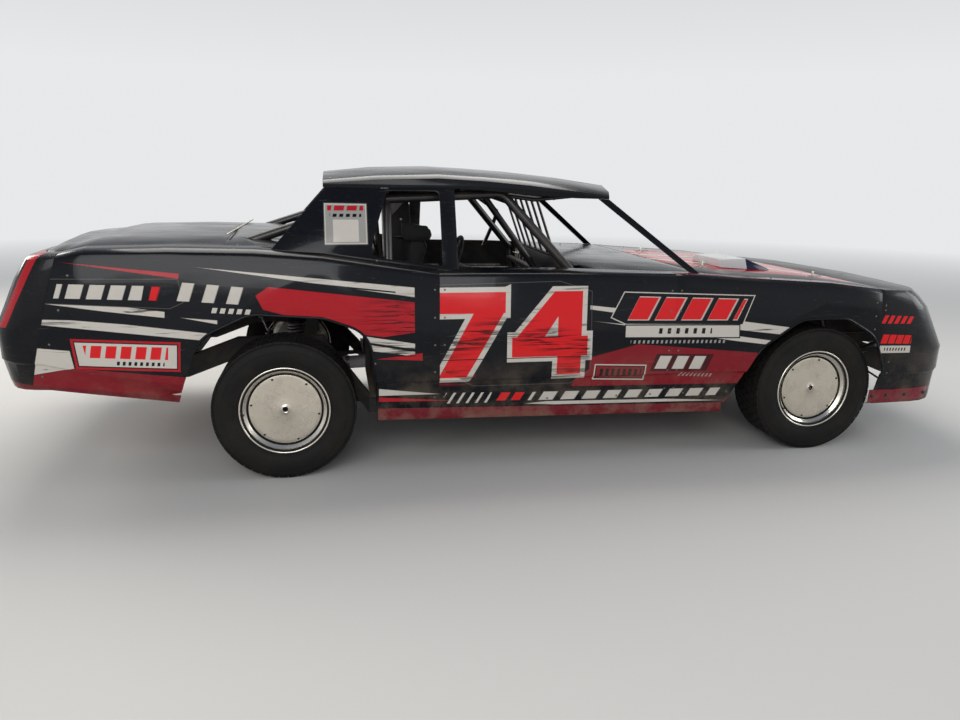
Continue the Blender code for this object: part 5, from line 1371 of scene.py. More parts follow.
# Columns: name, corners on the left side
CORNER_PLATES = (
    ("gusset", ((0.515, 0.59, 1.3), (0.605, 0.59, 1.304), (0.515, 0.578, 1.205))),
    ("gusset", ((1.05, 0.59, 1.328), (0.96, 0.59, 1.324), (1.09, 0.59, 1.312), (1.13, 0.606, 1.274))),
    ("gusset", ((1.42, 0.69, 0.88), (1.42, 0.6, 0.88), (1.424, 0.694, 0.8))),
    ("gusset", ((0.5, 0.686, 0.85), (0.5, 0.6, 0.85), (0.5, 0.674, 0.76))),
    ("foot", ((0.45, 0.57, 0.342), (0.55, 0.57, 0.342), (0.55, 0.67, 0.342), (0.45, 0.67, 0.342))),
    ("foot", ((1.42, 0.57, 0.342), (1.52, 0.57, 0.342), (1.52, 0.67, 0.342), (1.42, 0.67, 0.342))),
)


def padding_and_gussets():
    """Split foam on the bars round the driver, with its ties, and welded corner plates."""
    runs = (
        ((0.6, 0.59, 1.3055), (1.0, 0.59, 1.3262)),
        ((1.08, 0.18, 1.33), (1.08, 0.52, 1.33)),
        ((0.5, 0.12, 1.31), (0.5, 0.5, 1.31)),
        ((0.62, 0.7215, 0.8), (0.94, 0.7367, 0.8)),
        ((1.02, 0.7367, 0.8), (1.36, 0.708, 0.8)),
    )
    foam, ties = [], []
    for low, high in runs:
        a, b = at(*low), at(*high)
        foam.append(barrel("foam", a, b, 0.0345, "foam", 0.006, 28))
        for share in (0.12, 0.5, 0.88):
            spot, step = a.lerp(b, share), (b - a).normalized() * 0.0024
            ties.append(barrel("tie", spot - step, spot + step, 0.0356, "satin", 0.0008, 28))
    group("bar_padding", foam, "seat_vinyl")
    group("padding_ties", ties, "cage_black")
    corners = []
    for side in (-1, 1):
        for name, corners_at in CORNER_PLATES:
            corners.append(plate(name, [(x, side * y, z) for x, y, z in corners_at], 0.004, "cage"))
    group("cage_gussets", corners, "cage_black")


# Cabin
SEAT_BACK_LINE = (
    (1.092, 0.434), (1.0, 0.426), (0.69, 0.404), (0.628, 0.428), (0.596, 0.56), (0.583, 0.7), (0.572, 1.262),
)
SEAT_WING = (
    (0.64, 0.402), (1.088, 0.434), (1.104, 0.49), (1.06, 0.532), (0.93, 0.545), (0.85, 0.59), (0.792, 0.69),
    (0.752, 0.84), (0.77, 0.93), (0.792, 1.0), (0.76, 1.056), (0.696, 1.085), (0.684, 1.262), (0.573, 1.262),
    (0.584, 0.7), (0.598, 0.545),
)


def make_seat():
    """Folded sheet seat with rolled edges, bearers, padded liners and head support."""
    parts = []
    add = parts.append
    shell = [at(x, SEAT_Y, z) for x, z in SEAT_BACK_LINE]
    add(strap("shell", shell, (0, 1, 0), 0.424, 0.0035, "vinyl"))
    for side in (-1, 1):
        y = SEAT_Y + side * 0.2125
        add(plate("wing", [(x, y, z) for x, z in SEAT_WING], 0.0035, "vinyl", 0.0008))
        add(tube("rolled_edge", [(x, y, z) for x, z in SEAT_WING[1:14]], 0.0055, "vinyl", 0.03, 10))
        for z in (0.62, 0.8, 1.16):
            add(barrel("screw", (0.64, y, z), (0.64, y + side * 0.006, z), 0.007, "zinc", 0.0015, 14))
    add(tube("rolled_edge", [(0.574, SEAT_Y - 0.21, 1.262), (0.574, SEAT_Y + 0.21, 1.262)], 0.0055, "vinyl", 0, 10))
    for x, low in ((0.7, 0.4035), (0.98, 0.4225)):
        add(block(
            "bearer", (x, SEAT_Y - 0.195, FLOOR_TOP + TOUCH), (x + 0.05, SEAT_Y + 0.195, low), "cage", 0.003,
        ))
    arm = [at(0.6, SEAT_Y - 0.21, 1.06), at(0.64, SEAT_Y - 0.255, 1.06), at(0.815, SEAT_Y - 0.262, 1.07)]
    add(tube("support_arm", arm, 0.008, "vinyl", 0.03, 12))
    group("seat_shell", parts, "seat_vinyl", "chassis", ("seat",))
    z_seams = [(2, 0.6 + 0.085 * k, 0.006) for k in range(8)]
    cushion("seat_back_cushion", (0.588, 0.205, 0.5), (0.618, 0.585, 1.24), -1.6, 0.01, z_seams)
    x_seams = [(0, at(0.76 + 0.075 * k, 0, 0).x, 0.005) for k in range(4)]
    cushion("seat_base_cushion", (0.665, 0.205, 0.427), (1.07, 0.585, 0.455), -3.4, 0.01, x_seams)
    for hand, side in SIDES.items():
        y = sorted((SEAT_Y + side * 0.192, SEAT_Y + side * 0.207))
        seams = [(2, 0.7, 0.003), (2, 0.85, 0.003)]
        cushion(f"seat_side_pad_{hand}", (0.645, y[0], 0.56), (0.735, y[1], 1.03), 0, 0.005, seams)
    cushion(
        "head_support_pad", (0.66, SEAT_Y - 0.27, 1.052), (0.8, SEAT_Y - 0.228, 1.126), 0, 0.009,
        [(0, at(0.73, 0, 0).x, 0.004)],
    )


def make_harness():
    """Shoulder, lap and crotch straps, their adjusters and the rotary buckle."""
    straps, metal = [], []
    hub = at(0.742, SEAT_Y, 0.536)
    for side in (-1, 1):
        y = SEAT_Y + side * 0.062
        path = [
            (0.478, y, 0.845), (0.492, y, 0.874), (0.52, y, 0.88), (0.566, y, 0.935), (0.64, y, 0.96),
            (0.648, y, 0.9),
        ]
        path += [(0.655, y, 0.7), (0.668, y - side * 0.01, 0.6), (0.728, y - side * 0.044, 0.546)]
        straps.append(strap("shoulder", path, (0, 1, 0), 0.05, 0.0022))
        lap = ((0.64, 0.188, 0.47), (0.668, 0.15, 0.502), (0.72, 0.07, 0.528), (0.738, 0.02, 0.534))
        lap = [(x, SEAT_Y + side * w, z) for x, w, z in lap]
        straps.append(strap("lap", lap, (0.75, 0, 0.66), 0.046, 0.0022))
        metal.append(block("adjuster", (0.6555, y - 0.031, 0.742), (0.6635, y + 0.031, 0.774), "steel", 0.002))
        end = SEAT_Y + side * 0.188
        metal.append(block("end_plate", (0.63, end - 0.004, 0.446), (0.668, end + 0.004, 0.482), "steel", 0.002))
    crotch = [(0.752, SEAT_Y, 0.53), (0.786, SEAT_Y, 0.492), (0.85, SEAT_Y, 0.4735), (0.9, SEAT_Y, 0.4735)]
    straps.append(strap("crotch", crotch, (0, 1, 0), 0.046, 0.0022))
    tilt = Vector((0.72, 0, 0.69))
    body = [
        (-0.01, 0.03), (0.004, 0.032), (0.01, 0.03), (0.011, 0.018), (0.014, 0.016), (0.014, 0.001), (-0.01, 0.001),
    ]
    metal.append(lathed("buckle", body, hub, tilt, "steel", 40, 30))
    metal.append(block(
        "buckle_lever", hub + Vector((0.006, -0.008, 0.01)), hub + Vector((0.016, 0.008, 0.04)), "red", 0.003,
    ))
    group("harness_straps", straps, "panel_red")
    group("harness_metal", metal, "bare_aluminium")


WHEEL_AXIS = Vector((math.cos(math.radians(20)), 0, -math.sin(math.radians(20))))
WHEEL_UP = Vector((math.sin(math.radians(20)), 0, math.cos(math.radians(20))))


def make_steering_wheel():
    """Round grip, three drilled spokes, hub pad and the quick-release collar."""
    hub = at(0.98, 0.395, 0.88)

    def spot(angle, radius, out=0.0):
        a = math.radians(angle)
        return hub + (Vector((0, 1, 0)) * math.cos(a) + WHEEL_UP * math.sin(a)) * radius + WHEEL_AXIS * out

    ring = [
        (0.0132 * math.sin(math.tau * k / 14), 0.1665 + 0.0132 * math.cos(math.tau * k / 14)) for k in range(14)
    ]
    parts = [lathed("grip", ring, hub, WHEEL_AXIS, "foam", 72, 60)]
    add = parts.append
    for angle in (90, 210, 330):
        outline = [
            spot(angle + d, r) for d, r in (
                (-34, 0.036), (-7.5, 0.08), (-6, 0.158), (6, 0.158), (7.5, 0.08), (34, 0.036),
            )
        ]
        spoke = plate("spoke", outline, 0.0035, "satin", 0.0006)
        for radius, hole in ((0.068, 0.009), (0.096, 0.0075), (0.122, 0.0065)):
            cutter = barrel(
                "cutter", spot(angle, radius, -0.02), spot(angle, radius, 0.02), hole, "satin", 0.0004, 24,
            )
            modified(spoke, "BOOLEAN", object=cutter, solver="EXACT")
            bpy.data.objects.remove(cutter)
        add(spoke)
    pad = [
        (-0.014, 0.001), (-0.014, 0.026), (-0.01, 0.033), (0.004, 0.036), (0.006, 0.038), (0.008, 0.03),
        (0.008, 0.001),
    ]
    add(lathed("hub_pad", pad, hub, WHEEL_AXIS, "satin", 48, 30))
    collar = [
        (0.008, 0.001), (0.008, 0.027), (0.022, 0.027), (0.023, 0.031), (0.033, 0.031), (0.034, 0.025),
        (0.04, 0.024), (0.04, 0.001),
    ]
    add(lathed("collar", collar, hub, WHEEL_AXIS, "zinc", 48, 30))
    for k in range(6):
        a = 60 * k + 15
        add(barrel("screw", spot(a, 0.0285, -0.0105), spot(a, 0.0285, -0.0145), 0.003, "zinc", 0.001, 12))
    group("steering_wheel_finished", parts, "cage_black", "hand_wheel", ("steering_wheel",))


DASH_FACE = 1.446
NEEDLE_ANGLES = (-70, 15, 50, -20)
PEDAL_RIBS = 4


def make_dash():
    """Four dials, a switch plate with toggles, warning lamp, shift lever and pedals."""
    dials, parts, needles = [], [], []
    for k, angle in enumerate(NEEDLE_ANGLES):
        y = GAUGE_FIRST_Y + GAUGE_PITCH * k
        hub = at(DASH_FACE, y, GAUGE_Z)
        ring = [
            (0.0, 0.0335), (0.012, 0.0335), (0.015, 0.0315), (0.015, 0.029), (0.0085, 0.0278), (0.008, 0.03),
            (0.0, 0.03),
        ]
        parts.append(lathed("bezel", ring, hub, (-1, 0, 0), "satin", 44, 30))
        dials.append(lathed(
            "dial", [(0.0, 0.0005), (0.0, 0.03), (0.0082, 0.03), (0.0082, 0.0005)], hub, (-1, 0, 0), "dial", 44, 30,
        ))
        a = math.radians(angle)
        tip, side = Vector((0, math.sin(a), math.cos(a))), Vector((0, math.cos(a), -math.sin(a)))
        out = Vector((-0.0098, 0, 0))
        tail = hub + out - tip * 0.006
        outline = [tail + side * 0.0015, hub + out + tip * 0.021, tail - side * 0.0015]
        needles.append(plate("needle", outline, 0.0008, "red", 0))
        needles.append(barrel(
            "boss", hub + Vector((-0.0082, 0, 0)), hub + Vector((-0.0115, 0, 0)), 0.003, "satin", 0.0006, 14,
        ))
    group("gauge_dials", dials, "scoop_silver")
    group("gauge_needles", needles, "panel_red")
    parts.append(block(
        "switch_plate", (DASH_FACE - 0.0035, 0.525, 0.845), (DASH_FACE - TOUCH, 0.625, 0.945), "aluminium", 0.001,
    ))
    for k in range(3):
        y = 0.545 + 0.03 * k
        parts.append(barrel(
            "switch_nut", (DASH_FACE - 0.0035, y, 0.92), (DASH_FACE - 0.0075, y, 0.92), 0.0065, "zinc", 0.001, 6,
        ))
        parts.append(barrel(
            "toggle", (DASH_FACE - 0.007, y, 0.92), (DASH_FACE - 0.024, y, 0.927), 0.0024, "zinc", 0.001, 12,
        ))
    parts.append(barrel(
        "button_ring", (DASH_FACE - 0.0035, 0.555, 0.872), (DASH_FACE - 0.009, 0.555, 0.872), 0.012, "satin",
        0.0015, 24,
    ))
    parts.append(barrel(
        "button", (DASH_FACE - 0.008, 0.555, 0.872), (DASH_FACE - 0.013, 0.555, 0.872), 0.0085, "red", 0.0015, 24,
    ))
    parts.append(barrel(
        "lamp", (DASH_FACE - 0.0035, 0.6, 0.872), (DASH_FACE - 0.012, 0.6, 0.872), 0.008, "red", 0.003, 20,
    ))
    group("dash_instruments", parts, "bare_aluminium")
    lever = [lathed(
        "boot",
        [
            (0.0, 0.045), (0.004, 0.045), (0.01, 0.036), (0.016, 0.038), (0.024, 0.026), (0.03, 0.027),
            (0.045, 0.012), (0.045, 0.001), (0.0, 0.001),
        ],
        (1.2, 0.04, 0.5603), (0, 0, 1), "foam", 32, 30,
    )]
    lever.append(tube(
        "lever", [(1.2, 0.04, 0.59), (1.19, 0.05, 0.68), (1.13, 0.1, 0.76)], 0.0075, "zinc", 0.05, 12,
    ))
    ball = [(0.024 * -math.cos(math.pi * k / 10), 0.0005 + 0.024 * math.sin(math.pi * k / 10)) for k in range(11)]
    lever.append(lathed("knob", ball, (1.124, 0.105, 0.774), (-0.5, 0.4, 0.76), "satin", 28, 60))
    group("shift_lever", lever, "cast_grey")
    pedals = []
    for y, wide, x in ((0.3, 0.026, 1.79), (0.4, 0.036, 1.78), (0.5, 0.036, 1.78)):
        pedals.append(tube(
            "pedal_arm", [(1.938, y, 0.7), (1.86, y, 0.7), (x + 0.02, y, 0.47)], 0.007, "cage", 0.03, 10,
        ))
        pedals.append(block("pedal_pad", (x, y - wide, 0.43), (x + 0.008, y + wide, 0.5), "aluminium", 0.002))
        for k in range(PEDAL_RIBS):
            z, half = 0.438 + 0.016 * k, wide * 0.85
            pedals.append(block(
                "pedal_rib", (x - 0.003, y - half, z), (x + 0.001, y + half, z + 0.005), "aluminium", 0.001, 1,
            ))
    group("foot_pedals", pedals, "bare_aluminium")


cage_tubes()
hood_fittings()
padding_and_gussets()
make_seat()
make_harness()
make_steering_wheel()
make_dash()


# Running gear and engine bay: lower and upper eyes of the shock absorbers on the left side, rear and front
SHOCK_ENDS = (
    ((-0.1, 0.395, 0.3), (-0.205, 0.405, 0.56)),
    ((WHEELBASE, 0.57, 0.222), (WHEELBASE, 0.478, 0.446)),
)


def make_springs_and_shocks():
    """Wound rear springs on their seats, shock absorbers, and the front coil-over units."""
    for hand, side in SIDES.items():
        y = side * 0.48
        parts = [helix("coil", (0, y, 0.4015), (0, y, 0.501), 0.051, 0.0075, 5)]
        for z in (0.3936, 0.5035):
            seat_ring = [(0.0, 0.02), (0.0, 0.059), (0.0058, 0.059), (0.0058, 0.04), (0.003, 0.038), (0.003, 0.02)]
            parts.append(lathed("spring_seat", seat_ring, (0, y, z), (0, 0, 1), "frame", 32, 30))
        group(f"rear_spring_{hand}_finished", parts, "frame_black", "chassis", (f"rear_spring_{hand}",))
    shocks = []
    add = shocks.append
    for side in (-1, 1):
        for low, high in SHOCK_ENDS:
            a, b = (at(x, side * y, z) for x, y, z in (low, high))
            way = (b - a).normalized()
            add(barrel("shock_body", a + way * 0.014, a.lerp(b, 0.58), 0.0215, "zinc", 0.003, 24))
            add(barrel("shock_rod", a.lerp(b, 0.56), b - way * 0.012, 0.007, "steel", 0.001, 14))
            add(barrel("shock_cap", a.lerp(b, 0.56), a.lerp(b, 0.62), 0.024, "satin", 0.003, 24))
            for end in (a, b):
                add(barrel(
                    "eye", end + Vector((-0.016, 0, 0)), end + Vector((0.016, 0, 0)), 0.015, "steel", 0.002, 20,
                ))
            if low[0] > 2:
                add(helix("coil", a.lerp(b, 0.16), a.lerp(b, 0.88), 0.033, 0.005, 6, "red"))
    for side in (-1, 1):
        for x, z in ((-0.1, 0.3), (-0.205, 0.56)):
            for w in (-0.022, 0.022):
                corners = ((-0.02, -0.02), (0.02, -0.02), (0.02, 0.026), (-0.02, 0.026))
                corners = [(x + w, side * 0.4 + dy, z + dz) for dy, dz in corners]
                add(plate("tab", corners, 0.004, "frame"))
    group("shock_absorbers", shocks, "cast_grey")


def make_links():
    """Trailing arms and cross rod of the rear axle with their eyes, and the brackets they bolt to."""
    parts = []
    rods = [((0.47, s * 0.535, 0.29), (0.01, s * 0.545, 0.262)) for s in (-1, 1)]
    rods.append(((-0.165, 0.37, 0.33), (-0.165, -0.44, 0.48)))
    rods.append(((0.47, 0.16, 0.3), (0.06, 0.11, 0.395)))
    for low, high in rods:
        a, b = at(*low), at(*high)
        way = (b - a).normalized()
        parts.append(barrel("link", a + way * 0.03, b - way * 0.03, 0.014, "frame", 0.002, 18))
        for end, to in ((a, way), (b, -way)):
            parts.append(barrel("jam_nut", end + to * 0.02, end + to * 0.031, 0.0125, "zinc", 0.001, 6))
            side = Vector((0, 1, 0)) if abs(way.x) > 0.5 else Vector((1, 0, 0))
            parts.append(barrel("rod_eye", end - side * 0.011, end + side * 0.011, 0.0185, "steel", 0.003, 22))
            parts.append(barrel("bolt", end - side * 0.022, end + side * 0.022, 0.0065, "zinc", 0.001, 12))
    for s in (-1, 1):
        parts.append(block(
            "axle_bracket", (-0.018, s * 0.545 - 0.016, 0.248), (0.038, s * 0.545 + 0.016, 0.318), "frame", 0.003,
        ))
        parts.append(block(
            "frame_bracket", (0.452, s * 0.535 - 0.015, 0.272), (0.5, s * 0.56 + 0.024, 0.33), "frame", 0.003,
        ))
    group("rear_axle_links", parts, "frame_black")
    axle = refined("rear_axle", "cast", "cast_grey", 0.002)
    axle.name = "rear_axle_finished"
    parts = []
    for step in ring_of(10, 1, "X"):
        spot = at(-0.088, 0.108 * step.y, HUB_Z + 0.092 * step.z)
        parts.append(barrel("cover_bolt", spot, spot + Vector((-0.016, 0, 0)), 0.007, "zinc", 0.0015, 6))
    rib = [(-0.07, 0.001), (-0.07, 0.115), (-0.092, 0.112), (-0.108, 0.085), (-0.122, 0.04), (-0.126, 0.001)]
    parts.append(lathed("cover", rib, (0, 0, HUB_Z), (1, 0, 0), "satin", 40, 40))
    shaft_turn = (at(1.45, 0, 0.385) - at(0.24, 0, 0.345)).normalized()
    for base, way in ((at(0.242, 0, 0.345), 1), (at(1.448, 0, 0.385), -1)):
        yoke = [
            (0.0, 0.001), (0.0, 0.046), (0.018, 0.048), (0.03, 0.036), (0.05, 0.036), (0.06, 0.04), (0.075, 0.04),
            (0.082, 0.001),
        ]
        parts.append(lathed("yoke", yoke, base, shaft_turn * way, "steel", 32, 30))
    group("axle_cover_and_yokes", parts, "cast_grey")
    refined("drive_shaft", "silver", "cast_grey", 0.001)


FIRST_PORT = 2.76
PORT_PITCH = 0.165


def make_exhaust():
    """Four pipes a side into a collector, and the pipe that runs back under the floor."""
    parts = []
    add = parts.append
    for s in (-1, 1):
        for k in range(4):
            x = FIRST_PORT - PORT_PITCH * k
            path = [
                (x, s * 0.288, 0.56), (x - 0.01, s * 0.335, 0.555), (x - 0.04, s * 0.338, 0.47),
                (x - 0.09, s * 0.33, 0.3 + 0.012 * k),
            ]
            path += [
                (2.15 - 0.01 * k, s * (0.33 + 0.018 * (k % 2)), 0.245 + 0.024 * (k // 2)), (2.02, s * 0.36, 0.225),
            ]
            add(tube("primary", path, 0.02, "heat", 0.045, 12))
            flange = ((-0.045, -0.026), (0.045, -0.026), (0.045, 0.026), (-0.045, 0.026))
            flange = [(x + dx, s * 0.292, 0.56 + dz) for dx, dz in flange]
            add(plate("flange", flange, 0.006, "heat", 0.002))
        add(barrel("collector", (2.06, s * 0.356, 0.232), (1.9, s * 0.375, 0.212), 0.046, "heat", 0.006, 28))
        path = ((1.92, 0.372, 0.212), (1.6, 0.4, 0.196), (1.15, 0.41, 0.196), (0.9, 0.47, 0.19))
        add(tube("pipe", [(x, s * y, z) for x, y, z in path], 0.037, "heat", 0.12, 20))
        for x in (1.6, 1.2):
            add(barrel(
                "clamp", (x - 0.012, s * 0.402, 0.196), (x + 0.012, s * 0.402, 0.196), 0.04, "steel", 0.002, 28,
            ))
            add(tube(
                "hanger", [(x, s * 0.44, 0.2), (x, s * 0.47, 0.24), (x, s * 0.47, 0.334)], 0.005, "steel", 0.02, 8,
            ))
    group("exhaust_pipes", parts, "cast_grey")


HEAD_Y = 0.2
ENGINE_TOP = 0.7885
COVER_RIBS = 7
FAN_BLADES = 6


def make_engine_top():
    """Rocker covers, intake, carburettor with its air cleaner, pulleys, belt and fan."""
    parts = []
    add = parts.append
    for s in (-1, 1):
        y = s * HEAD_Y
        add(block("rocker_cover", (2.19, y - 0.062, ENGINE_TOP), (2.8, y + 0.062, 0.842), "aluminium", 0.012, 3))
        for k in range(COVER_RIBS):
            rib = y - 0.036 + 0.012 * k
            add(block("rib", (2.252, rib - 0.002, 0.84), (2.74, rib + 0.002, 0.846), "aluminium", 0.0015, 1))
        add(barrel("breather", (2.7, s * 0.215, 0.842), (2.7, s * 0.215, 0.878), 0.024, "satin", 0.004, 24))
        for x in (2.215, 2.495, 2.775):
            add(barrel("bolt", (x, y, 0.84), (x, y, 0.85), 0.008, "zinc", 0.0015, 6))
    add(block("intake", (2.26, -0.11, ENGINE_TOP), (2.72, 0.11, 0.815), "aluminium", 0.008, 2))
    add(block("carburettor", (2.41, -0.062, 0.814), (2.56, 0.062, 0.846), "zinc", 0.006, 2))
    cleaner = [
        (0.0, 0.001), (0.0, 0.15), (0.006, 0.168), (0.012, 0.168), (0.012, 0.16), (0.04, 0.16), (0.04, 0.168),
        (0.047, 0.166), (0.052, 0.14), (0.052, 0.001),
    ]
    add(lathed("air_cleaner", cleaner, (2.485, 0, 0.845), (0, 0, 1), "zinc", 64, 30))
    add(lathed(
        "filter", [(0.0125, 0.15), (0.0125, 0.164), (0.0395, 0.164), (0.0395, 0.15)], (2.485, 0, 0.845), (0, 0, 1),
        "red", 64, 30,
    ))
    add(barrel("wing_nut", (2.485, 0, 0.896), (2.485, 0, 0.905), 0.009, "steel", 0.002, 8))
    for y, z, r in ((0.0, 0.48, 0.085), (0.0, 0.64, 0.062), (-0.19, 0.6, 0.036)):
        groove = [
            (0.0, 0.001), (0.0, r), (0.004, r), (0.01, r * 0.86), (0.016, r), (0.02, r), (0.02, r * 0.5),
            (0.028, r * 0.46), (0.028, 0.001),
        ]
        add(lathed("pulley", groove, (2.881, y, z), (1, 0, 0), "steel", 44, 30))
    belt = [
        (0.078, 0.48), (0.0, 0.402), (-0.078, 0.48), (-0.222, 0.59), (-0.2, 0.633), (0.0, 0.698), (0.055, 0.65),
        (0.078, 0.48),
    ]
    add(strap("belt", [(2.891, y, z) for y, z in belt], (1, 0, 0), 0.009, 0.006, "hose"))
    group("engine_dressing", parts, "bare_aluminium")
    fan = []
    hub = at(2.96, 0, 0.59)
    corners = ((0.012, -0.022, 0.035), (-0.014, 0.03, 0.035), (-0.02, 0.046, 0.15), (0.014, -0.03, 0.155))
    blade = plate("blade", [hub + Vector(p) for p in corners], 0.0025, "satin", 0.0006)
    for k in range(FAN_BLADES):
        fan.append(turned_about(copied(blade, "blade"), math.tau * k / FAN_BLADES, "X", hub))
    bpy.data.objects.remove(blade)
    fan.append(lathed(
        "fan_hub", [(-0.052, 0.001), (-0.052, 0.03), (-0.014, 0.04), (0.012, 0.04), (0.018, 0.024), (0.018, 0.001)],
        hub, (1, 0, 0), "zinc", 32, 30,
    ))
    group("radiator_fan", fan, "cage_black")


FIN_ROWS = 40
FIN_PITCH = 0.006


def make_radiator():
    """Finned core between two tanks, with cap, pipes and a stone mesh."""
    x0, x1 = 3.085, 3.14
    parts = [block("core", (x0 + 0.008, -0.32, 0.45), (x1 - 0.008, 0.32, 0.7), "satin", 0.002)]
    add = parts.append
    add(block("low_tank", (x0, -0.33, 0.4105), (x1, 0.33, 0.452), "aluminium", 0.006, 3))
    add(block("top_tank", (x0, -0.33, 0.696), (x1, 0.33, 0.74), "aluminium", 0.006, 3))
    for s in (-1, 1):
        add(block("end_plate", (x0, s * 0.325 - 0.004, 0.44), (x1, s * 0.325 + 0.004, 0.71), "aluminium", 0.002))
    fin = block("fin", (x0 + 0.004, -0.318, 0.456), (x1 - 0.004, 0.318, 0.4568), "zinc", 0.0002, 1)
    pitch = {"use_constant_offset": True, "constant_offset_displace": (0, 0, FIN_PITCH)}
    modified(fin, "ARRAY", use_relative_offset=False, count=FIN_ROWS, **pitch)
    add(fin)
    add(lathed(
        "cap",
        [(0.0, 0.001), (0.0, 0.022), (0.01, 0.022), (0.01, 0.03), (0.018, 0.03), (0.022, 0.024), (0.022, 0.001)],
        (3.112, -0.23, 0.7395), (0, 0, 1), "zinc", 32, 30,
    ))
    add(tube(
        "top_pipe", [(3.09, 0.24, 0.715), (3.03, 0.24, 0.715), (2.92, 0.16, 0.74), (2.82, 0.06, 0.815)], 0.019,
        "hose", 0.06, 16,
    ))
    add(tube(
        "low_pipe", [(3.09, -0.25, 0.43), (3.03, -0.25, 0.43), (2.94, -0.18, 0.52), (2.882, -0.06, 0.56)], 0.02,
        "hose", 0.06, 16,
    ))
    group("radiator_finished", parts, "bare_aluminium", "chassis", ("radiator",))
    mesh = start(
        "grid", "nose_mesh", x_subdivisions=44, y_subdivisions=8, size=1, location=at(3.3, 0, 0.452),
        rotation=(0, math.pi / 2, 0),
    )
    mesh.scale = (0.15, 0.86, 1)
    placed(mesh)
    modified(mesh, "WIREFRAME", thickness=0.003)
    settle(finished(mesh, "zinc", 30), "chassis", "bare_aluminium")


def make_fuel_cell():
    """Red steel can with its two straps, filler plate with screws, and vent."""
    can = refined("fuel_cell", "red", "panel_red", 0.008)
    can.name = "fuel_cell_finished"
    parts = []
    add = parts.append
    for x in (-0.85, -0.63):
        path = [(x, -0.3225, 0.53), (x, -0.3225, 0.7625), (x, 0.3225, 0.7625), (x, 0.3225, 0.53)]
        add(strap("can_strap", path, (1, 0, 0), 0.04, 0.003, "steel"))
    add(barrel("filler_plate", (-0.74, 0.0, 0.76), (-0.74, 0.0, 0.766), 0.08, "aluminium", 0.002, 44))
    add(lathed(
        "filler_cap",
        [(0.0, 0.001), (0.0, 0.04), (0.016, 0.04), (0.02, 0.034), (0.02, 0.01), (0.03, 0.008), (0.03, 0.001)],
        (-0.74, 0.0, 0.7655), (0, 0, 1), "zinc", 40, 30,
    ))
    for step in ring_of(12, 0.068, "Z"):
        spot = at(-0.74, 0, 0.7655) + step
        add(barrel("screw", spot, spot + Vector((0, 0, 0.005)), 0.005, "zinc", 0.001, 8))
    add(tube(
        "vent", [(-0.74, 0.11, 0.76), (-0.74, 0.11, 0.8), (-0.74, 0.16, 0.815), (-0.74, 0.22, 0.8)], 0.008, "zinc",
        0.02, 12,
    ))
    group("fuel_cell_fittings", parts, "bare_aluminium")


# Body fittings
def fastener_model():
    """One low domed fastener head on a washer, standing on the origin."""
    dome = [
        (-0.0008, 0.0004), (-0.0008, 0.005), (0.0004, 0.005), (0.0008, 0.0036), (0.0018, 0.0031), (0.0023, 0.0018),
        (0.0025, 0.0004),
    ]
    return lathed("fastener", dome, Vector(), (0, 0, 1), "rivet", 12, 40)


# Columns: panel, first and last spot as (station, y, z), how many, direction of the look from outside
FASTENER_ROWS = (
    ("door_skin", (1.875, 1.2, 0.88), (1.875, 1.2, 0.38), 6, "side"),
    ("fender", (1.925, 1.2, 0.88), (1.925, 1.2, 0.38), 6, "side"),
    ("fender", (3.03, 1.2, 0.8), (3.03, 1.2, 0.66), 3, "side"),
    ("nose_cover", (3.085, 1.2, 0.785), (3.085, 1.2, 0.76), 2, "side"),
    ("nose_cover", (3.14, 1.2, 0.48), (3.14, 1.2, 0.42), 2, "side"),
    ("door_skin", (0.745, 1.2, 0.9), (0.745, 1.2, 0.38), 5, "side"),
    ("quarter_panel", (0.7, 1.2, 0.9), (0.7, 1.2, 0.38), 5, "side"),
    ("door_skin", (0.9, 1.2, 0.352), (1.8, 1.2, 0.352), 6, "side"),
    ("fender", (1.98, 1.2, 0.35), (2.22, 1.2, 0.35), 2, "side"),
    ("quarter_panel", (-0.86, 1.2, 0.98), (-1.01, 1.2, 0.54), 4, "side"),
    ("quarter_panel", (0.42, 1.2, 0.56), (0.38, 1.2, 0.42), 2, "side"),
    ("sail_panel", (0.02, 1.2, 1.075), (0.44, 1.2, 1.03), 4, "side"),
    ("fender", (1.96, 0.88, 1.2), (2.96, 0.74, 1.2), 7, "top"),
    ("roof_panel", (0.24, 0.64, 1.6), (1.5, 0.625, 1.6), 8, "top"),
    ("cowl_panel", (1.56, 0.7, 1.3), (2.0, 0.7, 1.3), 3, "top"),
    ("rear_deck_panel", (-0.18, 0.78, 1.4), (0.32, 0.78, 1.4), 4, "top"),
    ("deck_lid", (-0.262, 0.06, 1.4), (-0.262, 0.56, 1.4), 5, "top"),
)


def fasteners():
    """Domed heads along the panels' seams and edges, each seated on its sheet."""
    model = fastener_model()
    seats = {}
    for stem, first, last, count, look in FASTENER_ROWS:
        for hand, side in SIDES.items():
            name = stem if stem in PANELS else f"{stem}_{hand}"
            towards = (0, -side, 0) if look == "side" else (0, 0, -1)
            for k in range(count):
                x, y, z = Vector(first).lerp(Vector(last), k / (count - 1))
                spot = on_surface(PANELS[name], at(x, side * y, z), towards)
                if spot:
                    seats.setdefault(BODY_OF[name], []).append(spot)
    for body, spots in seats.items():
        fixed_on(f"fasteners_{body}", model, spots, body, "bare_aluminium")
    bpy.data.objects.remove(model)


KNUCKLES = 26
KNUCKLE_PITCH = 0.046


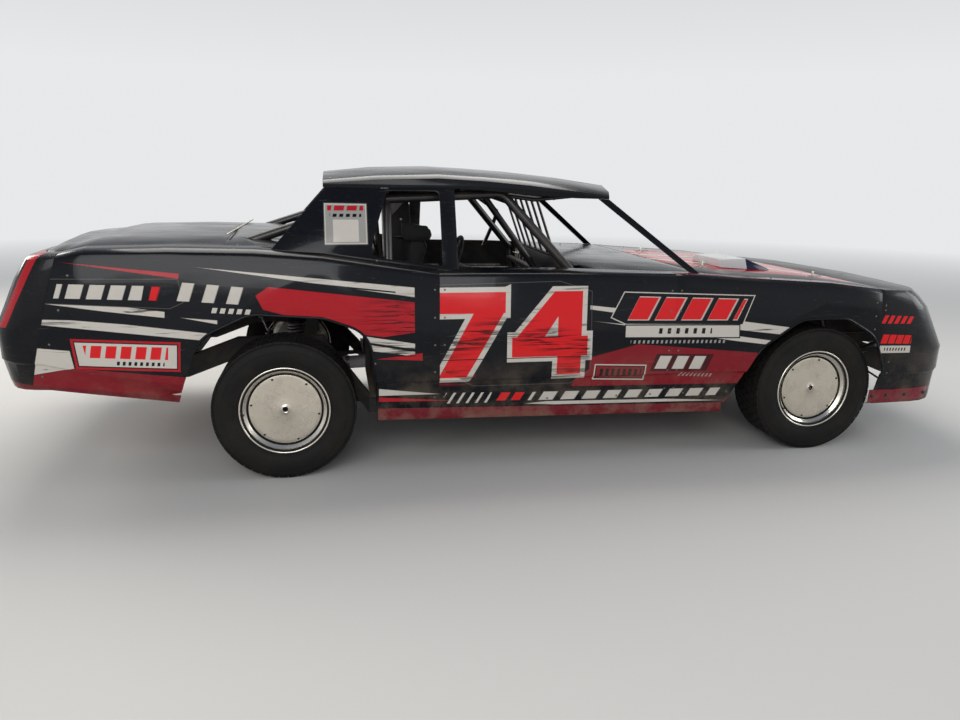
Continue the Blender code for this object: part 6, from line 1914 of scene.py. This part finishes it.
def deck_hinge():
    """Piano hinge at the rear lid's front edge."""
    spot = on_surface(PANELS["deck_lid"], at(-0.27, 0.1, 1.4), (0, 0, -1))
    z = spot[0].z + 0.001
    knuckles = []
    for k in range(KNUCKLES):
        y = -0.598 + KNUCKLE_PITCH * k
        knuckles.append(barrel("knuckle", (-0.2415, y, z), (-0.2415, y + 0.044, z), 0.0042, "zinc", 0.0008, 12))
    group("lid_hinge_knuckles", knuckles, "bare_aluminium")


LIP_POINTS = 10
LIP_PITCH = 0.0445


def nose_lip():
    """Red plastic lip bolted under the nose cover's corners, torn off at the front."""
    for hand, side in SIDES.items():
        edges = []
        for z in (0.322, 0.25):
            edge = []
            for k in range(LIP_POINTS):
                x = 3.066 + LIP_PITCH * k
                spot = on_surface(PANELS["nose_cover"], at(max(x, 3.125), side * 1.3, z), (0, -side, 0))
                edge.append(at(x, spot[0].y + side * 0.0022, z))
            edges.append(edge)
        top, low = edges
        made = line("lip", top)
        edit()
        bpy.ops.mesh.extrude_region_move(TRANSFORM_OT_translate={"value": (0, 0, -0.072)})
        bpy.ops.mesh.extrude_region_move(TRANSFORM_OT_translate={"value": (0, -side * 0.016, -0.007)})
        done()
        placed(made)
        for vertex in made.data.vertices:
            nearest = min(range(LIP_POINTS), key=lambda k: abs(top[k].x - vertex.co.x))
            if vertex.co.z < 0.3:
                vertex.co.y += low[nearest].y - top[nearest].y
            if nearest > 7 and vertex.co.z < 0.3:
                vertex.co.z += 0.01 * (nearest - 7)
                vertex.co.x += (0.008, -0.014)[nearest - 8]
            if nearest == 3:
                vertex.co.z -= 0.003
        modified(made, "SOLIDIFY", thickness=0.004, offset=0)
        parts = [finished(made, "lip", 40)]
        for x in (3.085, 3.173, 3.289, 3.422):
            spot = on_surface(parts[0], at(x, side * 1.3, 0.288), (0, -side, 0))
            if spot:
                a, out = spot[0], Vector((0, side, 0))
                parts.append(barrel("washer", a, a + out * 0.0018, 0.01, "satin", 0.0005, 20))
                parts.append(barrel("bolt", a + out * 0.0014, a + out * 0.007, 0.0066, "satin", 0.0012, 6))
        group(f"nose_lip_{hand}", parts, "panel_red")


# Corners of the wheel arches: station, height
REAR_ARCH = (
    (-0.466, 0.39), (-0.35, 0.7), (-0.13, 0.802), (0.19, 0.778), (0.395, 0.705), (0.43, 0.45), (0.428, 0.345),
)
FRONT_ARCH = ((2.214, 0.29), (2.385, 0.58), (2.6, 0.722), (2.86, 0.724), (3.04, 0.625), (3.118, 0.44), (3.1, 0.32))


def arch_lips():
    """Rolled bead round each wheel arch, seated on the sheet's edge."""
    for hand, side in SIDES.items():
        for name, outline, panels in (
            ("rear", REAR_ARCH, (f"quarter_panel_{hand}",)),
            ("front", FRONT_ARCH, (f"fender_{hand}", "nose_cover")),
        ):
            middle = Vector((sum(x for x, _ in outline) / len(outline), 0, 0.4))
            path, y = [], None
            for p in bent([Vector((x, 0, z)) for x, z in outline], 0.17, 6):
                away = (p - middle).normalized() * 0.01
                for panel in panels:
                    spot = on_surface(PANELS[panel], at(p.x + away.x, side * 1.3, p.z + away.z), (0, -side, 0))
                    if spot:
                        y = spot[0].y - side * 0.002
                        break
                if y is not None:
                    path.append(at(p.x, y, p.z))
            lip = tube("lip", path, 0.0062, "gloss", 0, 10)
            settle(lip, "chassis", "body_black").name = f"arch_lip_{name}_{hand}"


def engine_side_sheets():
    """Sheets beside the engine that close the view through the front arches, with pressed beads."""
    for hand, side in SIDES.items():
        y = side * 0.5
        outline = (
            (2.03, 0.43), (2.42, 0.43), (2.46, 0.5), (3.43, 0.5), (3.43, 0.75), (3.04, 0.8), (2.3, 0.862),
            (2.03, 0.878),
        )
        parts = [plate("sheet", [(x, y, z) for x, z in outline], 0.003, "back", 0.0006)]
        for z0, z1 in ((0.56, 0.56), (0.68, 0.68), (0.8, 0.775)):
            parts.append(tube("bead", [(2.1, y, z0), (3.35, y, z1 - (z0 - z1) * 0.4)], 0.006, "back", 0, 10))
        for k in range(8):
            spot = at(2.08 + 0.13 * k, y, 0.52 if k > 2 else 0.45)
            out = Vector((0, side, 0))
            parts.append(barrel("screw", spot, spot + out * 0.005, 0.006, "zinc", 0.0012, 10))
        group(f"engine_side_sheet_{hand}", parts, "frame_black")


def stays():
    """Thin stays to the nose's and the tail's lower corners, and the bent bar in the driver's window."""
    parts = []
    for side in (-1, 1):
        for ends in (((3.09, 0.5, 0.47), (3.275, 0.845, 0.3)), ((-1.06, 0.52, 0.52), (-1.13, 0.84, 0.64))):
            parts.append(tube("stay", [(x, side * y, z) for x, y, z in ends], 0.0055, "cage", 0, 12))
    group("body_stays", parts, "cage_black")
    bar = tube("bar", [(1.318, 0.64, 1.19), (1.3, 0.655, 1.12), (1.24, 0.7, 0.96)], 0.0125, "cage", 0.05)
    bar = joined(
        [bar, tube("bar", [(1.318, 0.64, 1.19), (1.15, 0.605, 1.3)], 0.0125, "cage", 0)], "driver_window_bar",
    )
    settle(bar, "chassis", "cage_black")


def torn_corner():
    """The slit torn in the right quarter panel's lower corner, with its lifted flap."""
    panel = PANELS["quarter_panel_right"]
    outline = ((-0.43, 0.449), (-0.488, 0.441), (-0.47, 0.4365), (-0.43, 0.434))
    cutter = plate("cutter", [(x, -0.9, z) for x, z in outline], 0.12, "back", 0)
    modified(panel, "BOOLEAN", object=cutter, solver="EXACT")
    bpy.data.objects.remove(cutter)
    for vertex in panel.data.vertices:
        x, z = vertex.co.x - REAR_AXLE_X, vertex.co.z
        if x > -0.476 and z < 0.436 and x < -0.3:
            vertex.co.y += 0.01
            vertex.co.z -= 0.004


make_springs_and_shocks()
make_links()
make_exhaust()
make_engine_top()
make_radiator()
make_fuel_cell()
fasteners()
deck_hinge()
nose_lip()
arch_lips()
engine_side_sheets()
stays()
torn_corner()
